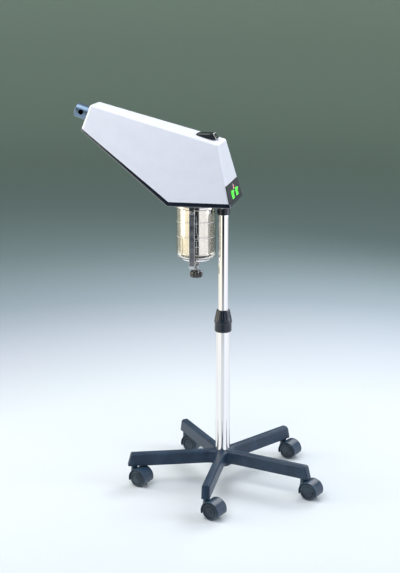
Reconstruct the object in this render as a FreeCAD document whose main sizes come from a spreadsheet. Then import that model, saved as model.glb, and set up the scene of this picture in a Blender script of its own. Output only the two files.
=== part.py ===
import FreeCAD, Part
import math
import os
import re
import Sketcher

# A facial steamer: a sloping lamp-like head with a glass boiler jar under it, carried by a
# telescopic chromed column on a five-legged castor base.
# Frame: origin on the floor on the column's axis, +Z up, the head's nose towards -X.

SIZES = [
    # alias, size in mm or degrees, meaning
    ("foot_count", 5, "legs of the base"),
    ("first_leg_turn", 198.6, "direction of the first leg about the column"),
    ("leg_width", 24, "leg, side to side"),
    ("leg_bottom", 57, "leg underside above the floor"),
    ("leg_top", 95, "leg top above the floor"),
    ("leg_bevel", 5, "bevel along the leg's top edges"),
    ("leg_start", 24, "leg root, inside the hub wall"),
    ("leg_end_top", 274, "leg end at its top edge"),
    ("leg_end_foot", 283, "leg end at its bottom edge"),
    ("leg_cut", 300, "beyond the leg's end"),
    ("channel_start", 34, "hollow under the leg, inner end"),
    ("channel_end", 252, "hollow under the leg, outer end"),
    ("channel_top", 90, "ceiling of the hollow under the leg"),
    ("channel_width", 17, "hollow under the leg, side to side"),
    ("hub_radius", 28, "hub of the base"),
    ("hub_bottom", 48, "hub underside"),
    ("hub_top", 90, "hub top"),
    ("hub_floor", 52, "where the column's lower tube stands"),
    ("hub_rim_radius", 23.5, "raised rim round the tube"),
    ("hub_rim_top", 97, "top of the raised rim"),
    ("stem_reach", 264, "castor stem from the column's axis"),
    ("stem_radius", 5, "castor stem"),
    ("stem_bottom", 41, "lower end of the stem, inside the hood"),
    ("stem_top", 80, "upper end of the stem, inside the leg"),
    ("castor_heading", -21, "direction in which all castors trail"),
    ("castor_trail", 24, "axle behind the stem"),
    ("wheel_radius", 25, "castor wheel"),
    ("wheel_bevel", 1.5, "bevel on the tread's edges"),
    ("wheel_inset", 4, "wheel's inner face from the hood's middle"),
    ("wheel_width", 18, "castor wheel's width"),
    ("dial_outer", 19, "raised ring on the wheel's face, outside"),
    ("dial_inner", 16, "raised ring on the wheel's face, inside"),
    ("dial_depth", 0.8, "depth of the groove in the wheel's face"),
    ("axle_radius", 3, "castor axle"),
    ("hood_radius", 29, "castor hood about the axle"),
    ("hood_inner", 26.3, "wheel space inside the hood"),
    ("hood_width", 46, "castor hood, side to side"),
    ("hood_web", 7, "hood's middle web"),
    ("hood_bottom", 16, "lower edge of the hood"),
    ("boss_radius", 9.5, "boss round the castor stem"),
    ("boss_top", 56.4, "top of the boss, just under the leg"),
    ("running_gap", 0.05, "radial clearance of a running fit"),
    ("loose_gap", 0.5, "clearance beside a moving piece"),
    ("rest_gap", 0.3, "clearance between faces that turn on each other"),
    ("outer_tube_radius", 21, "lower tube, outside"),
    ("outer_tube_bore", 19.5, "lower tube, inside"),
    ("outer_tube_top", 470, "lower tube, upper end"),
    ("inner_tube_radius", 15, "upper tube, outside"),
    ("inner_tube_bore", 13.5, "upper tube, inside"),
    ("inner_tube_bottom", 200, "upper tube, lower end"),
    ("inner_tube_top", 870, "upper tube, top end"),
    ("foot_bush_length", 22, "sliding bush on the upper tube's end"),
    ("guide_bush_bottom", 440, "guide bush in the lower tube's mouth"),
    ("collar_bottom", 458, "lock collar"),
    ("collar_radius", 25, "lock collar, outside"),
    ("collar_ridge", 26, "ridge between collar and nut"),
    ("collar_top", 488, "top of the lock collar"),
    ("collar_bevel", 2.5, "rounded lower edge of the collar"),
    ("collet_radius", 17.2, "split ring that grips the upper tube"),
    ("collet_top", 505, "top of the split ring"),
    ("collet_slit", 1.6, "slits in the split ring"),
    ("collet_slit_bottom", 478, "lower end of the slits"),
    ("nut_radius", 25.2, "lock nut's cone at its foot"),
    ("nut_grip_bottom", 495, "lower end of the cone"),
    ("nut_grip_top", 520, "upper end of the cone"),
    ("nut_grip_top_radius", 19.8, "lock nut's cone at its upper end"),
    ("nut_top", 523, "top of the lock nut"),
    ("nut_top_radius", 17.8, "lock nut at its top"),
    ("flute_count", 12, "grip flutes round the lock nut"),
    ("flute_radius", 4.5, "flute's radius"),
    ("flute_reach", 27.2, "flute's middle from the column's axis"),
    ("rim_height", 855, "joint line between cover and tray"),
    ("tray_bottom", 842, "underside of the tray"),
    ("head_back", 36, "head's back edge at the joint line"),
    ("tray_back", 39, "tray's back edge at its underside"),
    ("knee_reach", -140, "where the joint line turns up"),
    ("tray_knee", -144, "where the tray's underside turns up"),
    ("nose_reach", -404, "front tip at the joint line"),
    ("nose_height", 1052, "front tip at the joint line"),
    ("tray_nose_reach", -405, "tray's front tip"),
    ("tray_nose_height", 1046, "tray's front tip"),
    ("brow_reach", -381, "front end of the top"),
    ("brow_height", 1120, "front end of the top"),
    ("crown_reach", -5, "back end of the top"),
    ("crown_height", 1017, "back end of the top"),
    ("head_half_width", 99, "half the head's width at the joint line"),
    ("side_lean", 12.1, "inward lean of the sides in degrees"),
    ("skin", 2.5, "wall of cover and tray"),
    ("cover_round", 8, "rounded edges of the cover"),
    ("tray_round", 3, "rounded lower edges of the tray"),
    ("socket_radius", 19, "socket on the upper tube"),
    ("socket_bottom", 806, "lower end of the socket"),
    ("socket_flange", 30, "socket's flange on the tray floor"),
    ("socket_top", 876, "closed top of the socket"),
    ("flange_thickness", 5, "socket's flange"),
    ("jar_reach", -80, "axis of the boiler jar"),
    ("jar_radius", 57, "boiler jar, outside"),
    ("jar_wall", 3, "glass wall"),
    ("jar_bottom", 677, "underside of the jar"),
    ("jar_top", 824, "rim of the jar"),
    ("jar_round", 12, "rounded lower corner of the jar"),
    ("lid_bottom", 830, "underside of the boiler lid"),
    ("lid_radius", 52, "boiler lid"),
    ("lid_lip_radius", 58, "lip of the lid over the glass"),
    ("lid_lip_inner", 49.5, "inside of the lip"),
    ("lip_bottom", 826, "lower face of the lip"),
    ("lug_half_width", 8, "half the width of the lid's side lugs"),
    ("lug_bottom", 814, "lower end of the lugs"),
    ("lug_inner", 58.3, "inside of the lugs, clear of the glass"),
    ("steam_reach", -95, "axis of the steam riser"),
    ("riser_radius", 13, "steam duct, outside"),
    ("riser_bore", 11, "steam duct, inside"),
    ("spigot_radius", 20, "steam spigot of the lid"),
    ("spigot_top", 862, "top of the spigot"),
    ("gasket_inner", 50, "jar gasket, inside"),
    ("gasket_outer", 57.5, "jar gasket, outside"),
    ("guard_radius", 49, "polished steel heater guard"),
    ("guard_wall", 1.5, "guard's wall"),
    ("guard_bottom", 690, "open lower end of the guard"),
    ("heater_spread", 14, "heater leg from the middle"),
    ("heater_offset", 8, "heater's plane behind the jar's axis"),
    ("heater_radius", 4, "heater rod"),
    ("heater_bottom", 704, "lowest point of the heater's path"),
    ("heater_bend", 10, "bend radius of the heater"),
    ("probe_radius", 2.5, "water level probe"),
    ("probe_bottom", 716, "tip of the probe"),
    ("probe_forward", 20, "probe in front of the jar's axis"),
    ("probe_side", 25, "probe beside the jar's axis"),
    ("strap_half", 66, "half the stirrup's width"),
    ("strap_thickness", 3, "stirrup's strap"),
    ("strap_width", 16, "stirrup's strap, across"),
    ("strap_bottom", 653, "underside of the stirrup's crossbar"),
    ("strap_top", 828, "upper ends of the stirrup"),
    ("strap_bend", 12, "bends of the stirrup"),
    ("pivot_height", 820, "stirrup screws"),
    ("pivot_radius", 3, "stirrup screw's shank"),
    ("pivot_head", 6, "stirrup screw's head"),
    ("strap_boss_radius", 8, "threaded boss under the crossbar"),
    ("strap_boss_bottom", 646, "lower end of the boss"),
    ("cup_radius", 42, "pressure cup under the jar"),
    ("cup_bottom", 666, "underside of the pressure cup"),
    ("screw_radius", 4, "clamp screw"),
    ("knob_radius", 18.5, "clamp knob"),
    ("knob_bottom", 617, "underside of the knob"),
    ("knob_top", 638, "top of the knob"),
    ("lobe_count", 8, "scallops round the knob"),
    ("lobe_radius", 3.4, "scallop's radius"),
    ("duct_bend_height", 925, "where the steam duct turns forward"),
    ("duct_bend", 45, "first bend of the duct"),
    ("duct_tail_bend", 60, "second bend of the duct"),
    ("sleeve_bottom", 894, "lamp sleeve on the duct's bend"),
    ("sleeve_radius", 14.5, "lamp sleeve, outside"),
    ("sleeve_bore", 10.5, "lamp sleeve, inside"),
    ("sleeve_top", 985, "top of the lamp sleeve"),
    ("lamp_radius", 7, "ozone lamp"),
    ("lamp_bottom", 936, "tip of the ozone lamp"),
    ("lamp_base", 974, "lamp's base in its holder"),
    ("holder_radius", 15, "lamp holder's flange"),
    ("holder_top", 993, "top of the lamp holder"),
    ("nozzle_radius", 21, "steam nozzle"),
    ("nozzle_bore", 18, "inside of the nozzle"),
    ("nozzle_reach", 45, "nozzle proud of the head's front face"),
    ("nozzle_root", 13, "nozzle inside its seat"),
    ("nozzle_edge", 2, "rounded end of the nozzle"),
    ("nozzle_face", 3, "nozzle's front wall"),
    ("outlet_radius", 7.5, "steam outlet in the nozzle's side"),
    ("outlet_reach", 25, "outlet in front of the head's face"),
    ("seat_radius", 26, "ring round the nozzle's root"),
    ("seat_proud", 5, "ring proud of the head's face"),
    ("seat_hole", 23.8, "hole in the head's front wall"),
    ("seat_depth", 30, "tail of the nozzle seat"),
    ("filler_reach", -51.5, "axis of the filler"),
    ("filler_radius", 18.5, "filler funnel, outside"),
    ("filler_bore", 16, "filler funnel, inside"),
    ("pipe_radius", 9, "filler pipe, outside"),
    ("pipe_bore", 7.5, "filler pipe, inside"),
    ("funnel_bottom", 978, "where the funnel narrows"),
    ("funnel_foot", 968, "lower end of the funnel's cone"),
    ("cap_foot_half_length", 44, "filler cap, half its foot along the head"),
    ("cap_foot_half_width", 38, "filler cap, half its foot across"),
    ("cap_top_half_length", 24, "filler cap, half its top along the head"),
    ("cap_top_half_width", 24, "filler cap, half its top across"),
    ("cap_corner", 0.32, "share of each side taken by the cap's corner"),
    ("cap_foot", 1010, "height at which the cap's sides would end"),
    ("cap_top", 1041, "level top of the cap"),
    ("plug_bottom", 994, "cap's plug inside the funnel"),
    ("back_lean", 14.2, "forward lean of the back face in degrees"),
    ("panel_height", 50, "switch panel up the back face"),
    ("panel_foot", 0.81, "panel's lower edge above the tray"),
    ("panel_thickness", 3, "switch panel"),
    ("panel_round", 2, "rounded sides of the panel"),
    ("rocker_offset", 32, "rocker from the panel's middle"),
    ("rocker_up", 17, "rocker's middle above the joint line"),
    ("rocker_width", 29.8, "rocker across the panel"),
    ("rocker_half", 10.8, "half the rocker's height"),
    ("rocker_tip", 3.4, "rocker's ends proud of the panel"),
    ("rocker_valley", 1.4, "rocker's middle proud of the panel"),
    ("rocker_depth", 11, "rocker behind the panel"),
    ("rocker_pivot", 7, "rocker's pin behind the panel"),
    ("rocker_pin", 1.2, "rocker's pin"),
    ("rocker_tilt", 7, "rocker's tilt when on"),
    ("window_half_width", 15.6, "panel window for a rocker"),
    ("window_half_height", 12.3, "panel window for a rocker"),
    ("switch_wall", 2, "switch case's wall"),
    ("switch_depth", 17, "switch case behind the panel"),
    ("lamp_up", 34, "pilot lamp above the joint line"),
    ("pilot_radius", 5, "pilot lamp's barrel"),
    ("pilot_dome", 6.2, "pilot lamp's lens"),
    ("pilot_proud", 3, "pilot lamp's lens proud of the panel"),
    ("pilot_depth", 14, "pilot lamp behind the panel"),
    ("chassis_start", 40, "chassis from the knee, up the slope"),
    ("chassis_length", 150, "chassis along the slope"),
    ("chassis_width", 96, "chassis across"),
    ("chassis_rise", 8, "chassis above the tray floor"),
    ("chassis_gauge", 1.5, "chassis sheet"),
    ("ballast_start", 52, "lamp ballast, lower end"),
    ("ballast_length", 56, "lamp ballast along the slope"),
    ("ballast_width", 40, "lamp ballast across"),
    ("ballast_height", 34, "lamp ballast"),
    ("ballast_side", 24, "lamp ballast, off the middle"),
    ("board_start", 118, "control board, lower end"),
    ("board_length", 64, "control board along the slope"),
    ("board_width", 80, "control board across"),
    ("board_gauge", 1.6, "control board"),
    ("board_rise", 5, "control board above the chassis"),
    ("loom_radius", 3, "wiring loom"),
    ("loom_side", -38, "wiring loom, off the middle"),
    ("loom_back", 8, "back end of the loom"),
    ("loom_height", 876, "loom's level run"),
    ("loom_turn", -120, "where the loom turns up"),
    ("loom_crest", -188, "where the loom turns forward"),
    ("loom_crest_height", 962, "where the loom turns forward"),
    ("loom_front", -230, "front end of the loom"),
    ("loom_end_height", 972, "front end of the loom"),
    ("inlet_reach", 5, "mains inlet's middle"),
    ("inlet_side", 62, "mains inlet's middle"),
    ("inlet_length", 32, "mains inlet's body along the head"),
    ("inlet_width", 24, "mains inlet's body across the head"),
    ("inlet_height", 22, "mains inlet's body"),
    ("inlet_lip", 3, "flange beyond the inlet's body"),
    ("inlet_lip_depth", 2, "flange under the tray"),
    ("inlet_wall", 3.5, "wall round the inlet's socket"),
    ("inlet_socket_depth", 15, "inlet's socket"),
    ("inlet_pin_length", 8, "contact pins in the socket"),
    ("inlet_pin_gauge", 2, "contact pin's thickness"),
    ("inlet_pin_width", 4.5, "contact pin's width"),
    ("hole_gap", 0.2, "clearance of a hole in the casing"),
    ("tool_depth", 30, "length of a tool that cuts through a wall"),
    ("post_radius", 5, "cover's screw posts"),
    ("post_top", 877, "upper end of the posts"),
    ("post_side", 88, "posts off the middle"),
    ("post_front", -118, "front pair of posts"),
    ("post_back", 12, "back pair of posts"),
    ("screw_shank", 2, "cover screw"),
    ("screw_head", 4.2, "cover screw's head"),
    ("screw_head_depth", 2.4, "cover screw's head"),
    ("screw_depth", 16, "cover screw inside the post"),
]

doc = FreeCAD.newDocument("facial_steamer")
sheet = doc.addObject("Spreadsheet::Sheet", "Sizes")
for row, (alias, size, meaning) in enumerate(SIZES, start=1):
    sheet.set(f"A{row}", alias)
    sheet.set(f"B{row}", str(size))
    sheet.setAlias(f"B{row}", alias)
    sheet.set(f"C{row}", meaning)
doc.recompute()
ALIASES = {alias for alias, size, meaning in SIZES}
PARTS = []


# ---- helpers ---------------------------------------------------------------------------

def cells(formula):
    """The formula with each size's name written as a reference to its cell."""
    return re.sub(r"[a-z_]{3,}", lambda m: "Sizes." + m[0] if m[0] in ALIASES else m[0],
                  str(formula))


def value(formula):
    return float(sheet.evalExpression(cells(formula)))


def bind(item, **formulas):
    for name, formula in formulas.items():
        item.setExpression(name, cells(formula))
    return item


def put(item, x="0", y="0", z="0", axis=None, turn="0"):
    """Place an object, optionally turned about an axis, with its numbers bound to the sheet."""
    if axis:
        item.Placement.Rotation = FreeCAD.Rotation(FreeCAD.Vector(*axis), value(turn) or 1)
        item.setExpression("Placement.Rotation.Angle", cells(turn))
    for name, formula in (("x", x), ("y", y), ("z", z)):
        item.setExpression(f"Placement.Base.{name}", cells(formula))
    return item


def keep(item, label):
    """Give a finished sub-part its own name and put it on the list of parts to write."""
    item.Label = label
    PARTS.append(item)
    return item


def plane(body, role):
    return next(f for f in body.Origin.OriginFeatures if f.Role == role)


def sketch_on(body, role, name, lift="0"):
    sketch = body.newObject("Sketcher::SketchObject", name)
    sketch.AttachmentSupport = [(plane(body, role), "")]
    sketch.MapMode = "FlatFace"
    sketch.setExpression("AttachmentOffset.Base.z", cells(lift))
    return sketch


def hold_point(sketch, item, end, x, y):
    """Tie a point of the sketch to two formulas measured from the sketch's origin."""
    for kind, formula in (("DistanceX", x), ("DistanceY", y)):
        amount = value(formula)
        tie = sketch.addConstraint(Sketcher.Constraint(kind, -1, 1, item, end, amount))
        sketch.setExpression(f"Constraints[{tie}]", cells(formula))


def outline(sketch, corners):
    """A closed outline of straight sides through corners given as pairs of formulas."""
    points = [FreeCAD.Vector(value(x), value(y), 0) for x, y in corners]
    first = sketch.GeometryCount
    count = len(points)
    for i, point in enumerate(points):
        sketch.addGeometry(Part.LineSegment(point, points[(i + 1) % count]), False)
    for i, (x, y) in enumerate(corners):
        before = first + (i - 1) % count
        sketch.addConstraint(Sketcher.Constraint("Coincident", before, 2, first + i, 1))
        hold_point(sketch, first + i, 1, x, y)
    return sketch


def ring_sketch(sketch, radius, x="0"):
    """A circle on the sketch's own X axis."""
    middle = FreeCAD.Vector(value(x), 0, 0)
    sketch.addGeometry(Part.Circle(middle, FreeCAD.Vector(0, 0, 1), value(radius)), False)
    hold_point(sketch, 0, 3, x, "0")
    tie = sketch.addConstraint(Sketcher.Constraint("Radius", 0, value(radius)))
    sketch.setExpression(f"Constraints[{tie}]", cells(radius))
    return sketch


def new_body(name):
    return doc.addObject("PartDesign::Body", name)


def turned(name, profile):
    """A piece turned about the body's Z axis from a profile of (radius, height) corners."""
    body = new_body(name)
    sketch = outline(sketch_on(body, "XZ_Plane", name + "_profile"), profile)
    turn = body.newObject("PartDesign::Revolution", name + "_turn")
    turn.Profile = sketch
    turn.ReferenceAxis = (sketch, ["V_Axis"])
    turn.Angle = 360
    doc.recompute()
    return body


def padded(name, role, corners, length, lift="0", both_ways=True):
    """A piece padded from an outline on one of the body's own planes."""
    body = new_body(name)
    sketch = outline(sketch_on(body, role, name + "_outline", lift), corners)
    pad = body.newObject("PartDesign::Pad", name + "_pad")
    pad.Profile = sketch
    pad.SideType = "Symmetric" if both_ways else "One side"
    bind(pad, Length=length)
    doc.recompute()
    return body


def pocketed(body, role, corners, length, lift="0"):
    """Cut a symmetric pocket through the body."""
    before = body.Shape.Volume
    sketch = outline(sketch_on(body, role, body.Name + "_cut", lift), corners)
    pocket = body.newObject("PartDesign::Pocket", body.Name + "_pocket")
    pocket.Profile = sketch
    pocket.SideType = "Symmetric"
    bind(pocket, Length=length)
    doc.recompute()
    if body.Shape.Volume >= before:
        raise RuntimeError(f"{body.Name}: the pocket removed nothing")
    return pocket


def drill(body, radius, length, x="0", y="0", z="0", axis=None, turn="0", add=False):
    """A round hole, or with add a round boss, inside a body."""
    kind = "PartDesign::AdditiveCylinder" if add else "PartDesign::SubtractiveCylinder"
    tool = body.newObject(kind, body.Name + ("_boss" if add else "_hole"))
    bind(tool, Radius=radius, Height=length)
    put(tool, x, y, z, axis, turn)
    doc.recompute()
    return tool


def scooped(body, radius, x, low, length):
    """A round upright pocket at a distance x from the body's axis, from the height low up."""
    before = body.Shape.Volume
    sketch = ring_sketch(sketch_on(body, "XY_Plane", body.Name + "_ring", low), radius, x)
    pocket = body.newObject("PartDesign::Pocket", body.Name + "_scoop")
    pocket.Profile = sketch
    pocket.Reversed = True
    bind(pocket, Length=length)
    doc.recompute()
    if body.Shape.Volume >= before:
        raise RuntimeError(f"{body.Name}: the round pocket removed nothing")
    return pocket


def all_round(body, features, times):
    """Repeat features evenly round the body's Z axis."""
    pattern = body.newObject("PartDesign::PolarPattern", body.Name + "_pattern")
    pattern.Originals = features
    pattern.Axis = (plane(body, "Z_Axis"), [""])
    pattern.Angle = 360
    bind(pattern, Occurrences=times)
    body.Tip = pattern
    doc.recompute()
    return pattern


def rounded(body, radius, chosen):
    """Round the edges for which chosen(middle, edge) is true."""
    names = []
    for i, edge in enumerate(body.Shape.Edges, start=1):
        if chosen(edge.CenterOfMass, edge):
            names.append(f"Edge{i}")
    if not names:
        raise RuntimeError(f"{body.Name}: no edge to round")
    last = body.Tip
    finish = body.newObject("PartDesign::Fillet", body.Name + "_edges")
    finish.Base = (last, names)
    bind(finish, Radius=radius)
    doc.recompute()
    return finish


def box(name, size, low):
    """A Part box from its size and its lowest corner, both as formulas."""
    item = doc.addObject("Part::Box", name)
    bind(item, Length=size[0], Width=size[1], Height=size[2])
    return put(item, *low)


def cylinder(name, radius, length, x="0", y="0", z="0", axis=None, turn="0"):
    item = doc.addObject("Part::Cylinder", name)
    bind(item, Radius=radius, Height=length)
    return put(item, x, y, z, axis, turn)


def joined(name, items):
    fuse = doc.addObject("Part::MultiFuse", name)
    fuse.Shapes = items
    return fuse


def grouped(name, items):
    group = doc.addObject("Part::Compound", name)
    group.Links = items
    return group


def cut(name, base, tools):
    """The base with every tool taken away."""
    result = doc.addObject("Part::Cut", name)
    result.Base = base
    result.Tool = tools[0] if len(tools) == 1 else joined(name + "_tools", tools)
    return result


def piped(name, role, corners, bends, outer, inner=None, lift="0"):
    """A rod, or with inner a tube, along straight runs joined by tangent arcs."""
    body = new_body(name)
    route = sketch_on(body, role, name + "_route", lift)
    points = [FreeCAD.Vector(value(x), value(y), 0) for x, y in corners]
    start = points[0]
    runs, arcs = [], []
    for i, bend in enumerate(bends, start=1):
        here = points[i]
        back = (points[i - 1] - here).normalize()
        ahead = (points[i + 1] - here).normalize()
        half = back.getAngle(ahead) / 2
        reach = value(bend) / math.tan(half)
        middle = here + (back + ahead).normalize() * (value(bend) / math.sin(half))
        enter, leave = here + back * reach, here + ahead * reach
        crest = middle + (here - middle).normalize() * value(bend)
        runs.append(route.addGeometry(Part.LineSegment(start, enter), False))
        arcs.append(route.addGeometry(Part.Arc(enter, crest, leave), False))
        start = leave
    runs.append(route.addGeometry(Part.LineSegment(start, points[-1]), False))
    for i, arc in enumerate(arcs):
        before, after = runs[i], runs[i + 1]
        near_start = (route.Geometry[arc].StartPoint - route.Geometry[before].EndPoint).Length < 1e-6
        first, last = (1, 2) if near_start else (2, 1)
        route.addConstraint(Sketcher.Constraint("Tangent", before, 2, arc, first))
        route.addConstraint(Sketcher.Constraint("Tangent", arc, last, after, 1))
        tie = route.addConstraint(Sketcher.Constraint("Radius", arc, value(bends[i])))
        route.setExpression(f"Constraints[{tie}]", cells(bends[i]))
        corner = route.addGeometry(Part.Point(points[i + 1]), True)
        hold_point(route, corner, 1, *corners[i + 1])
        route.addConstraint(Sketcher.Constraint("PointOnObject", corner, 1, before))
        route.addConstraint(Sketcher.Constraint("PointOnObject", corner, 1, after))
    hold_point(route, runs[0], 1, *corners[0])
    hold_point(route, runs[-1], 2, *corners[-1])
    doc.recompute()
    spine = [f"Edge{i + 1}" for i in range(len(runs) + len(arcs))]
    for radius, kind in ((outer, "AdditivePipe"), (inner, "SubtractivePipe")):
        if radius is None:
            continue
        section = body.newObject("Sketcher::SketchObject", f"{name}_{kind}_section")
        section.AttachmentSupport = [(route, "Edge1")]
        section.MapMode = "NormalToEdge"
        ring_sketch(section, radius)
        pipe = body.newObject("PartDesign::" + kind, f"{name}_{kind}")
        pipe.Profile = section
        pipe.Spine = (route, spine)
        doc.recompute()
    return body


# ---- base and column -------------------------------------------------------------------

def make_star_base():
    """Nylon moulding: hub with a blind socket for the tube and five channel-section legs."""
    body = turned("star_base", [
        ("0", "hub_bottom"), ("hub_radius - 2", "hub_bottom"), ("hub_radius", "hub_bottom + 2"),
        ("hub_radius", "hub_top - 1"), ("hub_radius - 2", "hub_top + 1"),
        ("hub_rim_radius", "hub_top + 2"), ("hub_rim_radius", "hub_rim_top - 1"),
        ("hub_rim_radius - 1", "hub_rim_top"), ("outer_tube_radius", "hub_rim_top"),
        ("outer_tube_radius", "hub_floor"), ("0", "hub_floor")])
    half, bevel = "leg_width / 2", "leg_width / 2 - leg_bevel"
    sketch = outline(sketch_on(body, "YZ_Plane", "leg_section", "leg_start"), [
        (f"-({half})", "leg_bottom"), (half, "leg_bottom"), (half, "leg_top - leg_bevel"),
        (bevel, "leg_top"), (f"-({bevel})", "leg_top"), (f"-({half})", "leg_top - leg_bevel")])
    leg = body.newObject("PartDesign::Pad", "leg_pad")
    leg.Profile = sketch
    bind(leg, Length="leg_cut - leg_start - 1")
    doc.recompute()
    end = pocketed(body, "XZ_Plane", [
        ("leg_end_foot", "leg_bottom"), ("leg_cut", "leg_bottom - 1"), ("leg_cut", "leg_top + 1"),
        ("leg_end_top", "leg_top"), ], "leg_width + 2")
    channel = pocketed(body, "XZ_Plane", [
        ("channel_start", "leg_bottom - 1"), ("channel_end", "leg_bottom - 1"),
        ("channel_end", "channel_top"), ("channel_start", "channel_top")], "channel_width")
    stem = scooped(body, "stem_radius + running_gap", "stem_reach", "leg_bottom - 1",
                   "stem_top - leg_bottom + 1")
    all_round(body, [leg, end, channel, stem], "foot_count")
    put(body, axis=(0, 0, 1), turn="first_leg_turn")
    keep(body, "star_base")


def leg_turn(k):
    return f"(first_leg_turn + {k} * 360 / foot_count)"


def stem_place(k):
    angle = f"({leg_turn(k)} * 1 deg)"
    return f"stem_reach * cos{angle}", f"stem_reach * sin{angle}"


def make_castor_stems(count):
    """Steel pins pressed into the leg ends; the castor hoods turn on them."""
    pins = []
    for k in range(count):
        x, y = stem_place(k)
        pins.append(cylinder(f"stem_{k}", "stem_radius", "stem_top - stem_bottom", x, y, "stem_bottom"))
    keep(grouped("stems", pins), "castor_stems")


def make_castor(k):
    """One twin-wheel castor: hood with a middle web, axle and two wheels."""
    x, y = stem_place(k)
    heading = dict(axis=(0, 0, 1), turn="castor_heading")
    across = dict(axis=(1, 0, 0), turn="90")
    hood = new_body(f"hood_{k}")
    drill(hood, "hood_radius", "hood_width", x="castor_trail", y="hood_width / 2",
          z="wheel_radius", add=True, **across)
    drill(hood, "boss_radius", "boss_top - wheel_radius", z="wheel_radius", add=True)
    for side in ("hood_width", "-hood_web / 2"):
        drill(hood, "hood_inner", "hood_width - hood_web / 2", x="castor_trail", y=side,
              z="wheel_radius", **across)
    pocketed(hood, "XZ_Plane", [
        ("-hood_radius", "-hood_radius"), ("castor_trail + hood_radius + 1", "-hood_radius"),
        ("castor_trail + hood_radius + 1", "hood_bottom"), ("-hood_radius", "hood_bottom")],
        "hood_width + 2")
    drill(hood, "stem_radius + running_gap", "boss_top", z="stem_bottom - rest_gap")
    drill(hood, "axle_radius + running_gap", "hood_web + 2", x="castor_trail",
          y="hood_web / 2 + 1", z="wheel_radius", **across)
    put(hood, x, y, "0", **heading)
    keep(hood, f"castor_{k + 1}_hood")

    turn = "(castor_heading * 1 deg)"
    middle = (f"{x} + castor_trail * cos{turn}", f"{y} + castor_trail * sin{turn}", "wheel_radius")
    end = "wheel_inset + wheel_width - 1"
    axle = turned(f"axle_{k}", [("0", f"-({end})"), ("axle_radius", f"-({end})"),
                                ("axle_radius", end), ("0", end)])
    axle.Placement.Rotation = (FreeCAD.Rotation(FreeCAD.Vector(0, 0, 1), value("castor_heading"))
                               * FreeCAD.Rotation(FreeCAD.Vector(1, 0, 0), 90))
    put(axle, *middle)
    keep(axle, f"castor_{k + 1}_axle")

    for side, sign in (("left", 1), ("right", -1)):
        bore, edge = "axle_radius + running_gap", "wheel_radius - wheel_bevel"
        wide = "wheel_inset + wheel_width"
        wheel = turned(f"wheel_{k}_{side}", [
            (bore, "wheel_inset"), (edge, "wheel_inset"),
            ("wheel_radius", "wheel_inset + wheel_bevel"),
            ("wheel_radius", f"{wide} - wheel_bevel - 1"), (edge, f"{wide} - 0.5"),
            ("dial_outer", f"{wide} - 0.5"), ("dial_outer - 0.6", f"{wide} - 0.5 - dial_depth"),
            ("dial_inner + 0.6", f"{wide} - 0.5 - dial_depth"), ("dial_inner", f"{wide} - 0.5"),
            ("dial_inner / 2", f"{wide} - 0.5"), ("dial_inner / 2 - 0.5", wide), ("0", wide),
            ("0", f"{wide} - 0.7"), (bore, f"{wide} - 0.7")])
        wheel.Placement.Rotation = (FreeCAD.Rotation(FreeCAD.Vector(0, 0, 1), value("castor_heading"))
                                    * FreeCAD.Rotation(FreeCAD.Vector(1, 0, 0), 90 * sign))
        put(wheel, *middle)
        keep(wheel, f"castor_{k + 1}_wheel_{side}")


def make_column():
    """Two telescoping chromed tubes with nylon bushes, lock collar, split ring and lock nut."""
    keep(turned("lower_tube", [
        ("outer_tube_bore", "hub_floor"), ("outer_tube_radius", "hub_floor"),
        ("outer_tube_radius", "outer_tube_top"), ("outer_tube_bore", "outer_tube_top")]), "lower_tube")
    slide = "inner_tube_radius + running_gap"
    keep(turned("column_bush", [
        (slide, "guide_bush_bottom"), ("outer_tube_bore", "guide_bush_bottom"),
        ("outer_tube_bore", "outer_tube_top"), (slide, "outer_tube_top")]), "column_bush")
    room = "collet_radius + loose_gap"
    keep(turned("lock_collar", [
        ("outer_tube_radius", "collar_bottom"), ("collar_radius - collar_bevel", "collar_bottom"),
        ("collar_radius", "collar_bottom + collar_bevel"), ("collar_radius", "collar_top - 4"),
        ("collar_ridge", "collar_top - 2.5"), ("collar_ridge", "collar_top"),
        (room, "collar_top"), (room, "outer_tube_top"), ("outer_tube_radius", "outer_tube_top")]),
        "lock_collar")
    collet = turned("collet_ring", [
        (slide, "outer_tube_top"), ("collet_radius", "outer_tube_top"),
        ("collet_radius", "collet_top - 2"), ("collet_radius - 1", "collet_top"),
        (slide, "collet_top")])
    slits = [box(f"slit_{i}", (a, b, "collet_top - collet_slit_bottom + 1"),
                 (f"-({a}) / 2", f"-({b}) / 2", "collet_slit_bottom"))
             for i, (a, b) in enumerate((("collet_slit", "3 * collet_radius"),
                                         ("3 * collet_radius", "collet_slit")))]
    keep(cut("collet_split", collet, slits), "lock_collet")
    foot = "collar_top + rest_gap"
    nut = turned("lock_nut", [
        (room, foot), ("collar_ridge", foot), ("collar_ridge", f"{foot} + 2.5"),
        ("nut_radius", f"{foot} + 4"), ("nut_radius", "nut_grip_bottom"),
        ("nut_grip_top_radius", "nut_grip_top"), ("nut_top_radius", "nut_top"),
        ("inner_tube_radius + loose_gap", "nut_top"),
        ("inner_tube_radius + loose_gap", "collet_top + 3"), (room, "collet_top + 1")])
    flute = scooped(nut, "flute_radius", "flute_reach", "nut_grip_bottom",
                    "nut_top - nut_grip_bottom + 1")
    all_round(nut, [flute], "flute_count")
    keep(nut, "lock_nut")
    keep(turned("upper_tube", [
        ("inner_tube_bore", "inner_tube_bottom"), ("inner_tube_radius", "inner_tube_bottom"),
        ("inner_tube_radius", "inner_tube_top"), ("inner_tube_bore", "inner_tube_top")]),
        "upper_tube")
    bush = "outer_tube_bore - running_gap - 0.03"
    keep(turned("mast_foot_bush", [
        ("inner_tube_radius", "inner_tube_bottom"), (bush, "inner_tube_bottom"),
        (bush, "inner_tube_bottom + foot_bush_length"),
        ("inner_tube_radius", "inner_tube_bottom + foot_bush_length")]), "mast_foot_bush")


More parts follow.
